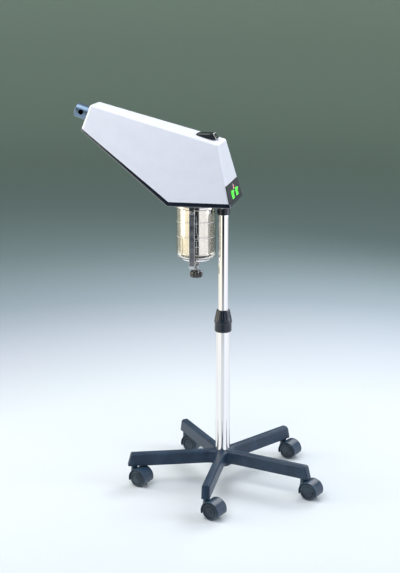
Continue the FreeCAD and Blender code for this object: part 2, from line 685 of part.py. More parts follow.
# ---- the head's casing -----------------------------------------------------------------

def slope_rotation():
    """Local X up the slope, local Z square off the tray's sloping floor, local Y along -Y."""
    run = value("tray_knee - tray_nose_reach")
    climb = value("tray_nose_height - tray_bottom")
    up = FreeCAD.Vector(-run, 0, climb).normalize()
    off = FreeCAD.Vector(climb, 0, run).normalize()
    return FreeCAD.Rotation(up, off.cross(up), off, "ZXY")


def on_slope(item, along, across, rise):
    """Place a part by its distance up the slope from the knee, off the middle and off the floor."""
    run = "(tray_knee - tray_nose_reach)"
    climb = "(tray_nose_height - tray_bottom)"
    length = f"sqrt({run} ^ 2 + {climb} ^ 2)"
    up = f"({rise} + skin)"
    x = f"tray_knee - ({along}) * {run} / {length} + {up} * {climb} / {length}"
    z = f"tray_bottom + ({along}) * {climb} / {length} + {up} * {run} / {length}"
    item.Placement.Rotation = slope_rotation()
    return put(item, x, across, z)


def inset(corners, walls):
    """Corners of a side view moved in, so that side i from corner i lies walls[i] further in."""
    normals = []
    for i, (x, y) in enumerate(corners):
        next_x, next_y = corners[(i + 1) % len(corners)]
        run, rise = f"(({next_x}) - ({x}))", f"(({next_y}) - ({y}))"
        length = f"sqrt({run} ^ 2 + {rise} ^ 2)"
        normals.append((f"(-{rise} / {length})", f"({run} / {length})"))
    moved = []
    for i, (x, y) in enumerate(corners):
        (ax, ay), (bx, by) = normals[i - 1], normals[i]
        wall_a, wall_b = walls[i - 1], walls[i]
        dot = f"({ax} * {bx} + {ay} * {by})"
        share_a = f"(({wall_a} - ({wall_b}) * {dot}) / (1 - {dot} ^ 2))"
        share_b = f"(({wall_b} - ({wall_a}) * {dot}) / (1 - {dot} ^ 2))"
        moved.append((f"{x} + {share_a} * {ax} + {share_b} * {bx}",
                      f"{y} + {share_a} * {ay} + {share_b} * {by}"))
    return moved


def half_width_at(height):
    """Half the head's width at a height, as a formula."""
    return f"(head_half_width - (({height}) - rim_height) * tan(side_lean * 1 deg))"


def leaning_block(name, corners, wall="0"):
    """A block padded from a side view, its two sides leaning in as they rise."""
    body = padded(name, "XZ_Plane", corners, "4 * head_half_width")
    low, high, far = "rim_height - 60", "brow_height + 60", "3 * head_half_width"
    side = f"{wall} / cos(side_lean * 1 deg)"
    sketch = sketch_on(body, "YZ_Plane", name + "_lean")
    for sign in ("", "-"):
        outline(sketch, [(f"{sign}({half_width_at(low)} - {side})", low), (f"{sign}{far}", low),
                         (f"{sign}{far}", high), (f"{sign}({half_width_at(high)} - {side})", high)])
    pocket = body.newObject("PartDesign::Pocket", name + "_sides")
    pocket.Profile = sketch
    pocket.SideType = "Symmetric"
    bind(pocket, Length="4 * brow_height")
    doc.recompute()
    return body


def open_rim():
    """A test that is true for an edge lying on the joint between cover and tray."""
    joint = [(value(x), value(y)) for x, y in (
        ("knee_reach", "rim_height"), ("nose_reach", "nose_height"))]
    (x0, z0), (x1, z1) = joint
    climb = (z1 - z0) / (x1 - x0)

    def test(middle):
        level = abs(middle.z - z0) < 0.1 and middle.x > x0 - 1
        return level or abs(middle.z - z0 - climb * (middle.x - x0)) < 0.5
    return test


def back_rotation():
    """Local X across the head, local Y up the back face, local Z out of the back face."""
    up = FreeCAD.Vector(value("crown_reach - head_back"), 0,
                        value("crown_height - rim_height")).normalize()
    across = FreeCAD.Vector(0, 1, 0)
    return FreeCAD.Rotation(across, up, across.cross(up), "ZXY")


def front_rotation():
    """Local Z out of the head's front face, local X up it."""
    up = FreeCAD.Vector(value("brow_reach - nose_reach"), 0,
                        value("brow_height - nose_height")).normalize()
    side = FreeCAD.Vector(0, 1, 0)
    return FreeCAD.Rotation(up, side, up.cross(side), "ZXY")


def on_back(item, across="0", up="0", out="0"):
    """Place a part drawn in the back face's frame."""
    item.Placement.Rotation = back_rotation()
    rise = "(crown_height - rim_height)"
    lean = "(head_back - crown_reach)"
    length = f"sqrt({rise} ^ 2 + {lean} ^ 2)"
    return put(item, f"head_back - ({up}) * {lean} / {length} + ({out}) * {rise} / {length}",
               across, f"rim_height + ({up}) * {rise} / {length} + ({out}) * {lean} / {length}")


def on_front(item, out="0"):
    """Place a part drawn about the nozzle's axis; out is its distance from the front face."""
    item.Placement.Rotation = front_rotation()
    run, rise = "(brow_reach - nose_reach)", "(brow_height - nose_height)"
    length = f"sqrt({run} ^ 2 + {rise} ^ 2)"
    return put(item, f"(brow_reach + nose_reach) / 2 - ({out}) * {rise} / {length}", "0",
               f"(brow_height + nose_height) / 2 + ({out}) * {run} / {length}")


def make_cover():
    """White cover: a moulded shell, open underneath, with four screw posts inside."""
    corners = [("head_back", "rim_height"), ("crown_reach", "crown_height"),
               ("brow_reach", "brow_height"), ("nose_reach", "nose_height"),
               ("knee_reach", "rim_height")]
    body = leaning_block("cover_block", corners)
    on_rim = open_rim()
    rounded(body, "cover_round", lambda middle, edge: not on_rim(middle))
    room = leaning_block("cover_room", inset(corners, ["skin", "skin", "skin", "-6", "-6"]), "skin")
    low = room.Shape.BoundBox.ZMin
    slope = value("(nose_height - rim_height) / (knee_reach - nose_reach)")

    def inner_edge(middle, edge):
        above = middle.z - low - slope * max(0, value("knee_reach") - middle.x)
        return above > 6
    rounded(room, "cover_round - skin", inner_edge)
    posts, bores = [], []
    for i, (x, sign) in enumerate((x, s) for x in ("post_front", "post_back") for s in ("", "-")):
        place = dict(x=x, y=f"{sign}post_side", z="tray_bottom + skin")
        posts.append(cylinder(f"post_{i}", "post_radius", "post_top - tray_bottom - skin", **place))
        bores.append(cylinder(f"post_bore_{i}", "screw_shank + running_gap", "screw_depth", **place))
    window = on_back(box("panel_window", ("3 * head_half_width", "panel_height + 10", "20"),
                         ("0", "0", "0")), "-1.5 * head_half_width", "-10", "-panel_thickness")
    mouth = on_front(cylinder("nozzle_hole", "seat_hole + hole_gap / 2", "tool_depth"), "-15")
    filler = cylinder("filler_hole", "filler_radius + hole_gap", "4 * tool_depth", "filler_reach",
                      "0", "spigot_top + 60")
    shell = cut("cover_hollow", body, [room])
    keep(cut("cover_cut", joined("cover_posts", [shell] + posts),
             bores + [window, mouth, filler]), "cover")
    screws = []
    for i, (x, sign) in enumerate((x, s) for x in ("post_front", "post_back") for s in ("", "-")):
        screw = turned(f"cover_screw_{i}", [
            ("0", "-screw_head_depth"), ("screw_head - 0.6", "-screw_head_depth"),
            ("screw_head", "-screw_head_depth + 0.6"), ("screw_head", "0"), ("screw_shank", "0"),
            ("screw_shank", "screw_depth"), ("0", "screw_depth")])
        screws.append(put(screw, x, f"{sign}post_side", "tray_bottom"))
    keep(grouped("cover_screw_set", screws), "cover_screws")


def make_tray():
    """Dark lower tray that closes the cover and carries every working piece."""
    corners = [("tray_back", "tray_bottom"), ("head_back", "rim_height"),
               ("knee_reach", "rim_height"), ("nose_reach", "nose_height"),
               ("tray_nose_reach", "tray_nose_height"), ("tray_knee", "tray_bottom")]
    body = leaning_block("tray_block", corners)
    on_rim = open_rim()

    def lower_edge(middle, edge):
        at_knee = abs(middle.x - value("tray_knee")) < 1 and abs(middle.y) < 1
        return not on_rim(middle) and not at_knee
    rounded(body, "tray_round", lower_edge)
    room = leaning_block("tray_room", inset(corners, ["skin", "-6", "-6", "skin", "skin", "skin"]),
                         "skin")
    under = "tray_bottom - 10"
    holes = [cylinder("socket_hole", "socket_radius + hole_gap / 2", "tool_depth", z=under),
             cylinder("spigot_hole", "spigot_radius + hole_gap", "tool_depth", "steam_reach", z=under),
             cylinder("pipe_hole", "pipe_radius + hole_gap", "tool_depth", "filler_reach", z=under),
             box("inlet_hole", ("inlet_length + 2 * hole_gap", "inlet_width + 2 * hole_gap",
                                "tool_depth"),
                 ("inlet_reach - inlet_length / 2 - hole_gap",
                  "inlet_side - inlet_width / 2 - hole_gap", under))]
    for i, (x, sign) in enumerate((x, s) for x in ("post_front", "post_back") for s in ("", "-")):
        holes.append(cylinder(f"tray_screw_hole_{i}", "screw_shank + hole_gap", "tool_depth", x,
                              f"{sign}post_side", under))
    keep(cut("tray_cut", body, [room] + holes), "tray")


def make_socket():
    """Black socket through the tray floor, blind on top, that turns on the upper tube."""
    bore = "inner_tube_radius + running_gap"
    seat = "tray_bottom + skin"
    keep(turned("head_socket", [
        (bore, "socket_bottom"), ("socket_radius - 1", "socket_bottom"),
        ("socket_radius", "socket_bottom + 1"), ("socket_radius", seat), ("socket_flange", seat),
        ("socket_flange", f"{seat} + flange_thickness"),
        ("socket_radius", f"{seat} + flange_thickness"), ("socket_radius", "socket_top"),
        ("0", "socket_top"), ("0", "inner_tube_top + rest_gap"), (bore, "inner_tube_top + rest_gap")]),
        "head_socket")


# ---- boiler ----------------------------------------------------------------------------

def make_boiler():
    """Lid with its lip, lugs and spigot; gasket, guard, heater and level probe hang from it."""
    lid = turned("lid", [
        ("0", "lid_bottom"), ("lid_lip_inner", "lid_bottom"), ("lid_lip_inner", "lip_bottom"),
        ("lid_lip_radius", "lip_bottom"), ("lid_lip_radius", "lid_bottom + 1"),
        ("lid_lip_radius - 1", "lid_bottom + 2"), ("lid_radius", "lid_bottom + 2"),
        ("lid_radius", "tray_bottom"), ("0", "tray_bottom")])
    put(lid, "jar_reach")
    spigot = cylinder("spigot", "spigot_radius", "spigot_top - tray_bottom", "steam_reach",
                      z="tray_bottom")
    lugs = []
    across = dict(axis=(1, 0, 0), turn="90")
    outer = "strap_half - strap_thickness"
    for i, sign in enumerate((1, -1)):
        low = f"{'' if sign > 0 else '-'}lug_inner" if sign > 0 else f"-({outer})"
        lugs.append(box(f"lug_{i}", ("2 * lug_half_width", f"{outer} - lug_inner",
                                     "tray_bottom - lug_bottom"),
                        ("jar_reach - lug_half_width", low, "lug_bottom")))
        low = "lid_radius - 6" if sign > 0 else f"-({outer})"
        lugs.append(box(f"lug_arm_{i}", ("2 * lug_half_width", f"{outer} - lid_radius + 6",
                                         "tray_bottom - lid_bottom"),
                        ("jar_reach - lug_half_width", low, "lid_bottom")))
    holes = [cylinder("steam_bore", "riser_bore", "60", "steam_reach", z="lid_bottom - 5"),
             cylinder("water_bore", "pipe_bore", "30", "filler_reach", z="lid_bottom - 5"),
             cylinder("pivot_bore", "pivot_radius", "3 * strap_half", "jar_reach",
                      "1.5 * strap_half", "pivot_height", **across)]
    keep(cut("lid_cut", joined("lid_body", [lid, spigot] + lugs), holes), "boiler_lid")
    for name, label, profile in (
            ("gasket", "jar_gasket", [
                ("gasket_inner", "jar_top"), ("gasket_outer", "jar_top"),
                ("gasket_outer", "lip_bottom"), ("gasket_inner", "lip_bottom")]),
            ("guard", "heater_guard", [
                ("guard_radius - guard_wall", "guard_bottom"), ("guard_radius", "guard_bottom"),
                ("guard_radius", "lid_bottom"), ("guard_radius - guard_wall", "lid_bottom")])):
        keep(put(turned(name, profile), "jar_reach"), label)
    heater = piped("heater", "YZ_Plane", [
        ("-heater_spread", "lid_bottom"), ("-heater_spread", "heater_bottom"),
        ("heater_spread", "heater_bottom"), ("heater_spread", "lid_bottom")],
        ["heater_bend", "heater_bend"], "heater_radius")
    keep(put(heater, "jar_reach + heater_offset"), "heater_element")
    probe = turned("probe", [
        ("0", "probe_bottom"), ("probe_radius", "probe_bottom + 2"), ("probe_radius", "lid_bottom"),
        ("0", "lid_bottom")])
    keep(put(probe, "jar_reach - probe_forward", "probe_side"), "level_probe")


def make_jar_carrier():
    """Glass jar standing on a dished cup, pressed up by the knob's screw in the stirrup."""
    jar = turned("jar", [
        ("0", "jar_bottom"), ("jar_radius", "jar_bottom"), ("jar_radius", "jar_top"),
        ("jar_radius - jar_wall", "jar_top"), ("jar_radius - jar_wall", "jar_bottom + jar_wall"),
        ("0", "jar_bottom + jar_wall")])
    outside, inside = value("jar_radius"), value("jar_radius - jar_wall")
    rounded(jar, "jar_round", lambda middle, edge: abs(edge.BoundBox.ZMax - value("jar_bottom")) < 0.1
            and abs(edge.BoundBox.XMax - outside) < 0.1)
    rounded(jar, "jar_round - jar_wall", lambda middle, edge: abs(
        edge.BoundBox.ZMax - value("jar_bottom + jar_wall")) < 0.1
        and abs(edge.BoundBox.ZMin - value("jar_bottom + jar_wall")) < 0.1
        and abs(edge.BoundBox.XMax - inside) < 0.1)
    keep(put(jar, "jar_reach"), "boiler_jar")
    cup = turned("cup", [
        ("0", "cup_bottom"), ("cup_radius - 17", "cup_bottom"), ("cup_radius - 2", "jar_bottom - 6"),
        ("cup_radius", "jar_bottom - 1.5"), ("cup_radius", "jar_bottom"),
        ("cup_radius - 3", "jar_bottom"), ("cup_radius - 4", "jar_bottom - 3"),
        ("cup_radius - 18", "cup_bottom + 3"), ("0", "cup_bottom + 3")])
    keep(put(cup, "jar_reach"), "pressure_cup")
    knob = turned("knob", [
        ("0", "knob_bottom"), ("knob_radius - 3", "knob_bottom"), ("knob_radius", "knob_bottom + 3"),
        ("knob_radius", "knob_top - 6"), ("knob_radius - 2", "knob_top - 4"),
        ("screw_radius + 5", "knob_top - 3"), ("screw_radius + 3", "knob_top"),
        ("screw_radius", "knob_top"), ("screw_radius", "knob_bottom + 4"), ("0", "knob_bottom + 4")])
    lobe = scooped(knob, "lobe_radius", "knob_radius + lobe_radius - 2.4", "knob_bottom - 1",
                   "knob_top - knob_bottom + 2")
    all_round(knob, [lobe], "lobe_count")
    keep(put(knob, "jar_reach"), "clamp_knob")
    keep(cylinder("screw", "screw_radius", "cup_bottom - knob_bottom - 4", "jar_reach",
                  z="knob_bottom + 4"), "clamp_screw")


def make_stirrup():
    """Bent steel strap on two screws in the lid's lugs, with the clamp screw's threaded boss."""
    out, inn = "strap_half", "strap_half - strap_thickness"
    low, high = "strap_bottom", "strap_bottom + strap_thickness"
    strap = padded("strap", "YZ_Plane", [
        (f"-({out})", "strap_top"), (f"-({out})", low), (out, low), (out, "strap_top"),
        (inn, "strap_top"), (inn, high), (f"-({inn})", high), (f"-({inn})", "strap_top")],
        "strap_width")

    def bend(height, half):
        return lambda middle, edge: (abs(middle.z - value(height)) < 0.1
                                     and abs(abs(middle.y) - value(half)) < 0.1)
    rounded(strap, "strap_bend", bend(low, out))
    rounded(strap, "strap_bend - strap_thickness", bend(high, inn))
    drill(strap, "strap_boss_radius", "strap_bottom - strap_boss_bottom + 1",
          z="strap_boss_bottom", add=True)
    drill(strap, "screw_radius + running_gap", "40", z="strap_boss_bottom - 10")
    drill(strap, "pivot_radius + 0.1", "3 * strap_half", y="1.5 * strap_half", z="pivot_height",
          axis=(1, 0, 0), turn="90")
    keep(put(strap, "jar_reach"), "stirrup")
    screws = []
    for i, sign in enumerate((1, -1)):
        screw = turned(f"pivot_screw_{i}", [
            ("0", "lug_inner"), ("pivot_radius", "lug_inner"), ("pivot_radius", "strap_half"),
            ("pivot_head", "strap_half"), ("pivot_head", "strap_half + 2"),
            ("pivot_head - 1", "strap_half + 3"), ("0", "strap_half + 3")])
        screw.Placement.Rotation = FreeCAD.Rotation(FreeCAD.Vector(1, 0, 0), -90 * sign)
        screws.append(put(screw, "jar_reach", "0", "pivot_height"))
    keep(grouped("pivot_screw_set", screws), "stirrup_screws")


# ---- steam path, filler and nozzle -----------------------------------------------------

def make_steam_path():
    """Duct from the lid's spigot to the nozzle seat, with a sleeve for the ozone lamp."""
    run, rise = "(brow_reach - nose_reach)", "(brow_height - nose_height)"
    length = f"sqrt({run} ^ 2 + {rise} ^ 2)"
    middle = ("(brow_reach + nose_reach) / 2", "(brow_height + nose_height) / 2")

    def behind_face(distance):
        return (f"{middle[0]} + ({distance}) * {rise} / {length}",
                f"{middle[1]} - ({distance}) * {run} / {length}")
    route = [("steam_reach", "spigot_top"), ("steam_reach", "duct_bend_height"),
             behind_face("seat_depth + 25"), behind_face("seat_depth")]
    bends = ["duct_bend", "duct_tail_bend"]
    duct = piped("duct", "XZ_Plane", route, bends, "riser_radius")
    inside = piped("duct_inside", "XZ_Plane", route, bends, "riser_bore")
    sleeve = cylinder("sleeve", "sleeve_radius", "sleeve_top - sleeve_bottom", "steam_reach",
                      z="sleeve_bottom")
    hollow = cylinder("sleeve_inside", "sleeve_bore", "sleeve_top - sleeve_bottom", "steam_reach",
                      z="sleeve_bottom + 1")
    keep(cut("duct_cut", joined("duct_body", [duct, sleeve]), [inside, hollow]), "steam_duct")
    lamp = turned("lamp_bulb", [
        ("0", "lamp_bottom"), ("lamp_radius - 3", "lamp_bottom + 1"),
        ("lamp_radius", "lamp_bottom + 5"), ("lamp_radius", "lamp_base"), ("0", "lamp_base")])
    holder = turned("holder", [
        ("0", "lamp_base"), ("sleeve_bore - 0.1", "lamp_base"), ("sleeve_bore - 0.1", "sleeve_top"),
        ("holder_radius", "sleeve_top"), ("holder_radius", "holder_top - 2"),
        ("holder_radius - 2", "holder_top"), ("0", "holder_top")])
    keep(grouped("lamp_set", [put(lamp, "steam_reach"), put(holder, "steam_reach")]), "ozone_lamp")
    seat = turned("seat", [
        ("riser_bore", "-seat_depth"), ("riser_radius", "-seat_depth"),
        ("riser_radius", "-seat_depth + 10"), ("seat_radius - 2", "-seat_depth + 13"),
        ("seat_radius + 2", "-skin - 5"), ("seat_radius + 2", "-skin"), ("seat_hole", "-skin"),
        ("seat_hole", "0"), ("seat_radius", "0"), ("seat_radius", "seat_proud - 1"),
        ("seat_radius - 1", "seat_proud"), ("nozzle_radius + running_gap", "seat_proud"),
        ("nozzle_radius + running_gap", "-nozzle_root - 1"), ("riser_bore", "-nozzle_root - 1")])
    keep(on_front(seat), "nozzle_seat")
    nozzle = turned("nozzle", [
        ("nozzle_bore", "-nozzle_root"), ("nozzle_radius", "-nozzle_root"),
        ("nozzle_radius", "nozzle_reach - nozzle_edge"),
        ("nozzle_radius - nozzle_edge", "nozzle_reach"), ("0", "nozzle_reach"),
        ("0", "nozzle_reach - nozzle_face"), ("nozzle_bore", "nozzle_reach - nozzle_face")])
    drill(nozzle, "outlet_radius", "nozzle_radius + 5", z="outlet_reach", axis=(1, 0, 0), turn="90")
    keep(on_front(nozzle), "nozzle_head")


def top_slope():
    return "((brow_height - crown_height) / (crown_reach - brow_reach))"


def top_at(x, lift="0"):
    """Height of the sloping top over a place along the head, as a formula."""
    return f"(crown_height + (crown_reach - ({x})) * {top_slope()} + ({lift}))"


def make_filler():
    """Funnel and pipe down to the lid, closed by a bevelled black cap with a plug."""
    neck = turned("neck", [
        ("pipe_bore", "tray_bottom"), ("pipe_radius", "tray_bottom"),
        ("pipe_radius", "funnel_foot - 2"), ("filler_radius", "funnel_bottom - 2"),
        ("filler_radius", "cap_top"), ("filler_bore", "cap_top"), ("filler_bore", "funnel_bottom"),
        ("pipe_bore", "funnel_foot")])
    put(neck, "filler_reach")
    above = padded("above_cover", "XZ_Plane", [
        ("filler_reach - 60", top_at("filler_reach - 60")),
        ("filler_reach + 60", top_at("filler_reach + 60")),
        ("filler_reach + 60", "cap_top + 60"), ("filler_reach - 60", "cap_top + 60")], "120")
    keep(cut("neck_cut", neck, [above]), "filler_neck")

    cap = new_body("cap")
    rings = []
    for level, length, width in (("cap_foot", "cap_foot_half_length", "cap_foot_half_width"),
                                 ("cap_top", "cap_top_half_length", "cap_top_half_width")):
        inner_length, inner_width = f"{length} * (1 - cap_corner)", f"{width} * (1 - cap_corner)"
        rings.append(outline(sketch_on(cap, "XY_Plane", "cap_" + level, level), [
            (length, f"-({inner_width})"), (length, inner_width), (inner_length, width),
            (f"-({inner_length})", width), (f"-({length})", inner_width),
            (f"-({length})", f"-({inner_width})"), (f"-({inner_length})", f"-({width})"),
            (inner_length, f"-({width})")]))
    loft = cap.newObject("PartDesign::AdditiveLoft", "cap_loft")
    loft.Profile = rings[0]
    loft.Sections = [rings[1]]
    loft.Ruled = True
    doc.recompute()
    put(cap, "filler_reach")
    below = padded("below_cap", "XZ_Plane", [
        ("filler_reach - 60", top_at("filler_reach - 60", "rest_gap")),
        ("filler_reach - 60", "cap_foot - 40"), ("filler_reach + 60", "cap_foot - 40"),
        ("filler_reach + 60", top_at("filler_reach + 60", "rest_gap"))], "120")
    lid = cut("cap_top_cut", cap, [below])
    plug = cylinder("plug", "filler_bore - loose_gap", "cap_top - 4 - plug_bottom", "filler_reach",
                    z="plug_bottom")
    keep(joined("cap_with_plug", [lid, plug]), "filler_cap")


# ---- switches, lamp and electrics ------------------------------------------------------

def make_panel():
    """Dark panel let into the back, two lit rockers in their cases and a red pilot lamp."""
    top_half = half_width_at("(rim_height + panel_height * cos(back_lean * 1 deg))")
    foot = "panel_foot"
    panel = padded("panel", "XY_Plane", [
        ("-head_half_width", foot), ("head_half_width", foot), (top_half, "panel_height"),
        (f"-{top_half}", "panel_height")], "panel_thickness", "0", False)
    rounded(panel, "panel_round", lambda middle, edge: abs(middle.z - value("panel_thickness")) < 0.1
            and abs(middle.x) > value("head_half_width - 8"))
    windows = []
    for i, sign in enumerate(("", "-")):
        windows.append(box(f"window_{i}", ("2 * window_half_width", "2 * window_half_height", "20"),
                           (f"{sign}rocker_offset - window_half_width",
                            "rocker_up - window_half_height", "-10")))
    windows.append(cylinder("pilot_hole", "pilot_radius + 0.1", "20", "0", "lamp_up", "-10"))
    plate = cut("panel_cut", panel, windows)
    keep(on_back(plate, out="-panel_thickness"), "switch_panel")
    barrel = turned("pilot", [
        ("0", "-pilot_depth"), ("pilot_radius", "-pilot_depth"), ("pilot_radius", "0"),
        ("pilot_dome", "0"), ("pilot_dome - 1", "pilot_proud * 0.6"),
        ("pilot_dome / 2", "pilot_proud"), ("0", "pilot_proud")])
    keep(on_back(barrel, up="lamp_up"), "pilot_lamp")

    cases = []
    for side, sign in (("left", "-"), ("right", "")):
        middle = f"{sign}rocker_offset"
        wide = "(window_half_width + switch_wall)"
        tall = "(window_half_height + switch_wall)"
        shell = box(f"case_{side}", (f"2 * {wide}", f"2 * {tall}", "switch_depth - panel_thickness"),
                    (f"-{wide}", f"-{tall}", "-switch_depth"))
        hollow = box(f"case_room_{side}",
                     ("2 * window_half_width", "2 * window_half_height", "switch_depth"),
                     ("-window_half_width", "-window_half_height", "-switch_depth + switch_wall"))
        pin = cylinder(f"pin_{side}", "rocker_pin", "2 * window_half_width + 2",
                       "-window_half_width - 1", "0", "-rocker_pivot", axis=(0, 1, 0), turn="90")
        case = joined(f"case_with_pin_{side}", [cut(f"case_cut_{side}", shell, [hollow]), pin])
        cases.append(on_back(case, middle, "rocker_up"))
        rocker = padded(f"rocker_{side}", "YZ_Plane", [
            ("-rocker_half", "rocker_tip"), ("0", "rocker_valley"), ("rocker_half", "rocker_tip"),
            ("rocker_half", "-2"), ("rocker_half / 2.5", "-rocker_depth"),
            ("-rocker_half / 2.5", "-rocker_depth"), ("-rocker_half", "-2")], "rocker_width")
        drill(rocker, "rocker_pin + running_gap", "2 * rocker_width", x="-rocker_width",
              z="-rocker_pivot", axis=(0, 1, 0), turn="90")
        tilted = grouped(f"rocker_group_{side}", [rocker])
        lift = f"rocker_pivot * sin(rocker_tilt * 1 deg)"
        on_back(tilted, middle, "rocker_up", "0")
        tip = FreeCAD.Rotation(FreeCAD.Vector(1, 0, 0), value("rocker_tilt"))
        rocker.Placement.Rotation = tip
        put(rocker, "0", f"-({lift})", "-rocker_pivot * (1 - cos(rocker_tilt * 1 deg))")
        keep(tilted, f"switch_{side}")
    keep(grouped("switch_case_set", cases), "switch_cases")


def make_electrics():
    """Folded chassis, lamp ballast, control board, loom and mains inlet."""
    deep = "chassis_rise + chassis_gauge"
    half, inner = "chassis_width / 2", "chassis_width / 2 - chassis_gauge"
    chassis = padded("chassis", "YZ_Plane", [
        (f"-({half})", "0"), (f"-({half})", deep), (half, deep), (half, "0"), (inner, "0"),
        (inner, "chassis_rise"), (f"-({inner})", "chassis_rise"), (f"-({inner})", "0")],
        "chassis_length", "0", False)
    block = joined("ballast_block", [
        box("ballast_core", ("ballast_length", "ballast_width - 8", "ballast_height"),
            ("0", "4", "0")),
        box("ballast_coil", ("ballast_length - 20", "ballast_width", "ballast_height - 6"),
            ("10", "0", "3"))])
    board = joined("board_block", [
        box("board_sheet", ("board_length", "board_width", "board_gauge"), ("0", "0", "board_rise")),
        box("relay", ("22", "16", "14"), ("8", "10", "board_rise")),
        box("terminals", ("10", "50", "10"), ("board_length - 12", "15", "board_rise")),
        cylinder("capacitor", "7", "20", "40", "60", "board_rise")] + [
        cylinder(f"standoff_{i}", "2.5", "board_rise + 0.5", x, y)
        for i, (x, y) in enumerate((x, y) for x in ("5", "board_length - 5")
                                   for y in ("5", "board_width - 5"))])
    for item, label, along, across, rise in (
            (chassis, "chassis", "chassis_start", "0", "0"),
            (block, "lamp_ballast", "ballast_start", "ballast_side + ballast_width / 2", deep),
            (board, "control_board", "board_start", "board_width / 2", deep)):
        keep(on_slope(item, along, across, rise), label)
    route = [("loom_back", "loom_height"), ("loom_turn", "loom_height"),
             ("loom_crest", "loom_crest_height"), ("loom_front", "loom_end_height")]
    spans = []
    for i, ((x, z), (next_x, next_z)) in enumerate(zip(route, route[1:])):
        run, rise = f"(({next_x}) - ({x}))", f"(({next_z}) - ({z}))"
        spans.append(cylinder(f"loom_span_{i}", "loom_radius", f"sqrt({run} ^ 2 + {rise} ^ 2)",
                              x, "loom_side", z, (0, 1, 0), f"atan2({run}; {rise}) / 1 deg"))
        if i:
            elbow = bind(doc.addObject("Part::Sphere", f"loom_elbow_{i}"), Radius="loom_radius")
            spans.append(put(elbow, x, "loom_side", z))
    keep(joined("loom", spans), "wiring_loom")

    low = "tray_bottom - inlet_lip_depth"
    half_long, half_wide = "inlet_length / 2", "inlet_width / 2"
    case = joined("inlet_case", [
        box("inlet_flange", ("inlet_length + 2 * inlet_lip", "inlet_width + 2 * inlet_lip",
                             "inlet_lip_depth"),
            (f"inlet_reach - {half_long} - inlet_lip", f"inlet_side - {half_wide} - inlet_lip", low)),
        box("inlet_block", ("inlet_length", "inlet_width", "inlet_height"),
            (f"inlet_reach - {half_long}", f"inlet_side - {half_wide}", low))])
    socket = box("inlet_socket", ("inlet_length - 2 * inlet_wall", "inlet_width - 2 * inlet_wall",
                                  "inlet_socket_depth"),
                 (f"inlet_reach - {half_long} + inlet_wall",
                  f"inlet_side - {half_wide} + inlet_wall", low))
    housing = cut("inlet_cut", case, [socket])
    pins = [box(f"inlet_pin_{i}", ("inlet_pin_gauge", "inlet_pin_width", "inlet_pin_length"),
                (f"inlet_reach - inlet_pin_gauge / 2 + ({x})",
                 f"inlet_side - inlet_pin_width / 2 + ({y})",
                 f"{low} + inlet_socket_depth - inlet_pin_length"))
            for i, (x, y) in enumerate((("-7", "-1.5"), ("7", "-1.5"), ("0", "2.5")))]
    keep(grouped("inlet_set", [housing] + pins), "mains_inlet")


make_star_base()
feet = round(value("foot_count"))
make_castor_stems(feet)
for number in range(feet):
    make_castor(number)
make_column()
make_cover()
make_tray()
make_socket()
make_boiler()
make_jar_carrier()
make_stirrup()
make_steam_path()
make_filler()
make_panel()
make_electrics()
doc.recompute()

for item in doc.Objects:
    if {"Invalid", "Error"} & set(item.State):
        raise RuntimeError(f"{item.Name} failed: {item.State}")
os.makedirs("parts", exist_ok=True)
for item in PARTS:
    shape = item.Shape
    if shape.isNull() or not shape.isValid() or not shape.Solids or shape.Volume <= 0:
        raise RuntimeError(f"{item.Label} has no valid shape")
for item in PARTS:
    item.Shape.exportStep(f"parts/{item.Label}.step")
print(len(PARTS), "parts written")
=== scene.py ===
import math

import bmesh
import bpy
import numpy as np
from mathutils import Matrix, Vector


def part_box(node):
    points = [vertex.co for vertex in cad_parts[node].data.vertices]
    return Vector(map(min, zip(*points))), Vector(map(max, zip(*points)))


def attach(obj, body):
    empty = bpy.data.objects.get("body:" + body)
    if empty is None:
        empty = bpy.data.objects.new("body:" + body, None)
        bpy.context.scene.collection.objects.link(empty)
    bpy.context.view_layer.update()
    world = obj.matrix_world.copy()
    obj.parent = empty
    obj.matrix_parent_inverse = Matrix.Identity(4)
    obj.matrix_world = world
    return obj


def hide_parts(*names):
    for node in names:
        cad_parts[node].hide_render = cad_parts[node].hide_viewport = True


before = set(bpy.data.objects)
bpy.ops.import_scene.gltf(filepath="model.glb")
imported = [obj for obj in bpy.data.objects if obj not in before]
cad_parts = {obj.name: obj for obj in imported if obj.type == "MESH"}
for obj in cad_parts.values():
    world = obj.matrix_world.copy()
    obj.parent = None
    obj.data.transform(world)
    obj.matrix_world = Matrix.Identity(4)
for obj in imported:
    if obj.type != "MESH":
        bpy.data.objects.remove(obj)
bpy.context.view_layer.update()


# ---- Studio -----------------------------------------------------------------------------
# Background paper with painted light: its colour is nearly white under the object, where the lamps'
# light pools, and fades to grey-green far off as painted fall-off.
# It lies as a wide round dish, so every side of the object has the same calm backdrop.
# Large soft lamps stand above, left, right, behind and high in front.

MM = 0.001


def linear(code):
    """A colour written as sRGB hex, as linear RGBA: ((c + 0.055) / 1.055) ^ 2.4 above the toe."""
    c = np.array([int(code[i:i + 2], 16) for i in (1, 3, 5)]) / 255
    c = np.where(c > 0.04045, ((c + 0.055) / 1.055) ** 2.4, c / 12.92)
    return (*c.tolist(), 1.0)


def add(tree, kind, inputs=None, **settings):
    """One shader node: settings are its properties, inputs its sockets, each given a value or
    another node's output."""
    node = tree.nodes.new("ShaderNode" + kind)
    for key, setting in settings.items():
        setattr(node, key, setting)
    for key, given in (inputs or {}).items():
        socket = node.inputs[key]
        if isinstance(given, bpy.types.NodeSocket):
            tree.links.new(given, socket)
        else:
            socket.default_value = given
    return node


def finish(name, **sockets):
    """A material and its shader; the sockets named here hold what is the same all over."""
    material = bpy.data.materials.new(name)
    material.use_nodes = True
    shader = material.node_tree.nodes["Principled BSDF"]
    for key, setting in sockets.items():
        shader.inputs[key.replace("_", " ")].default_value = setting
    return material, material.node_tree, shader


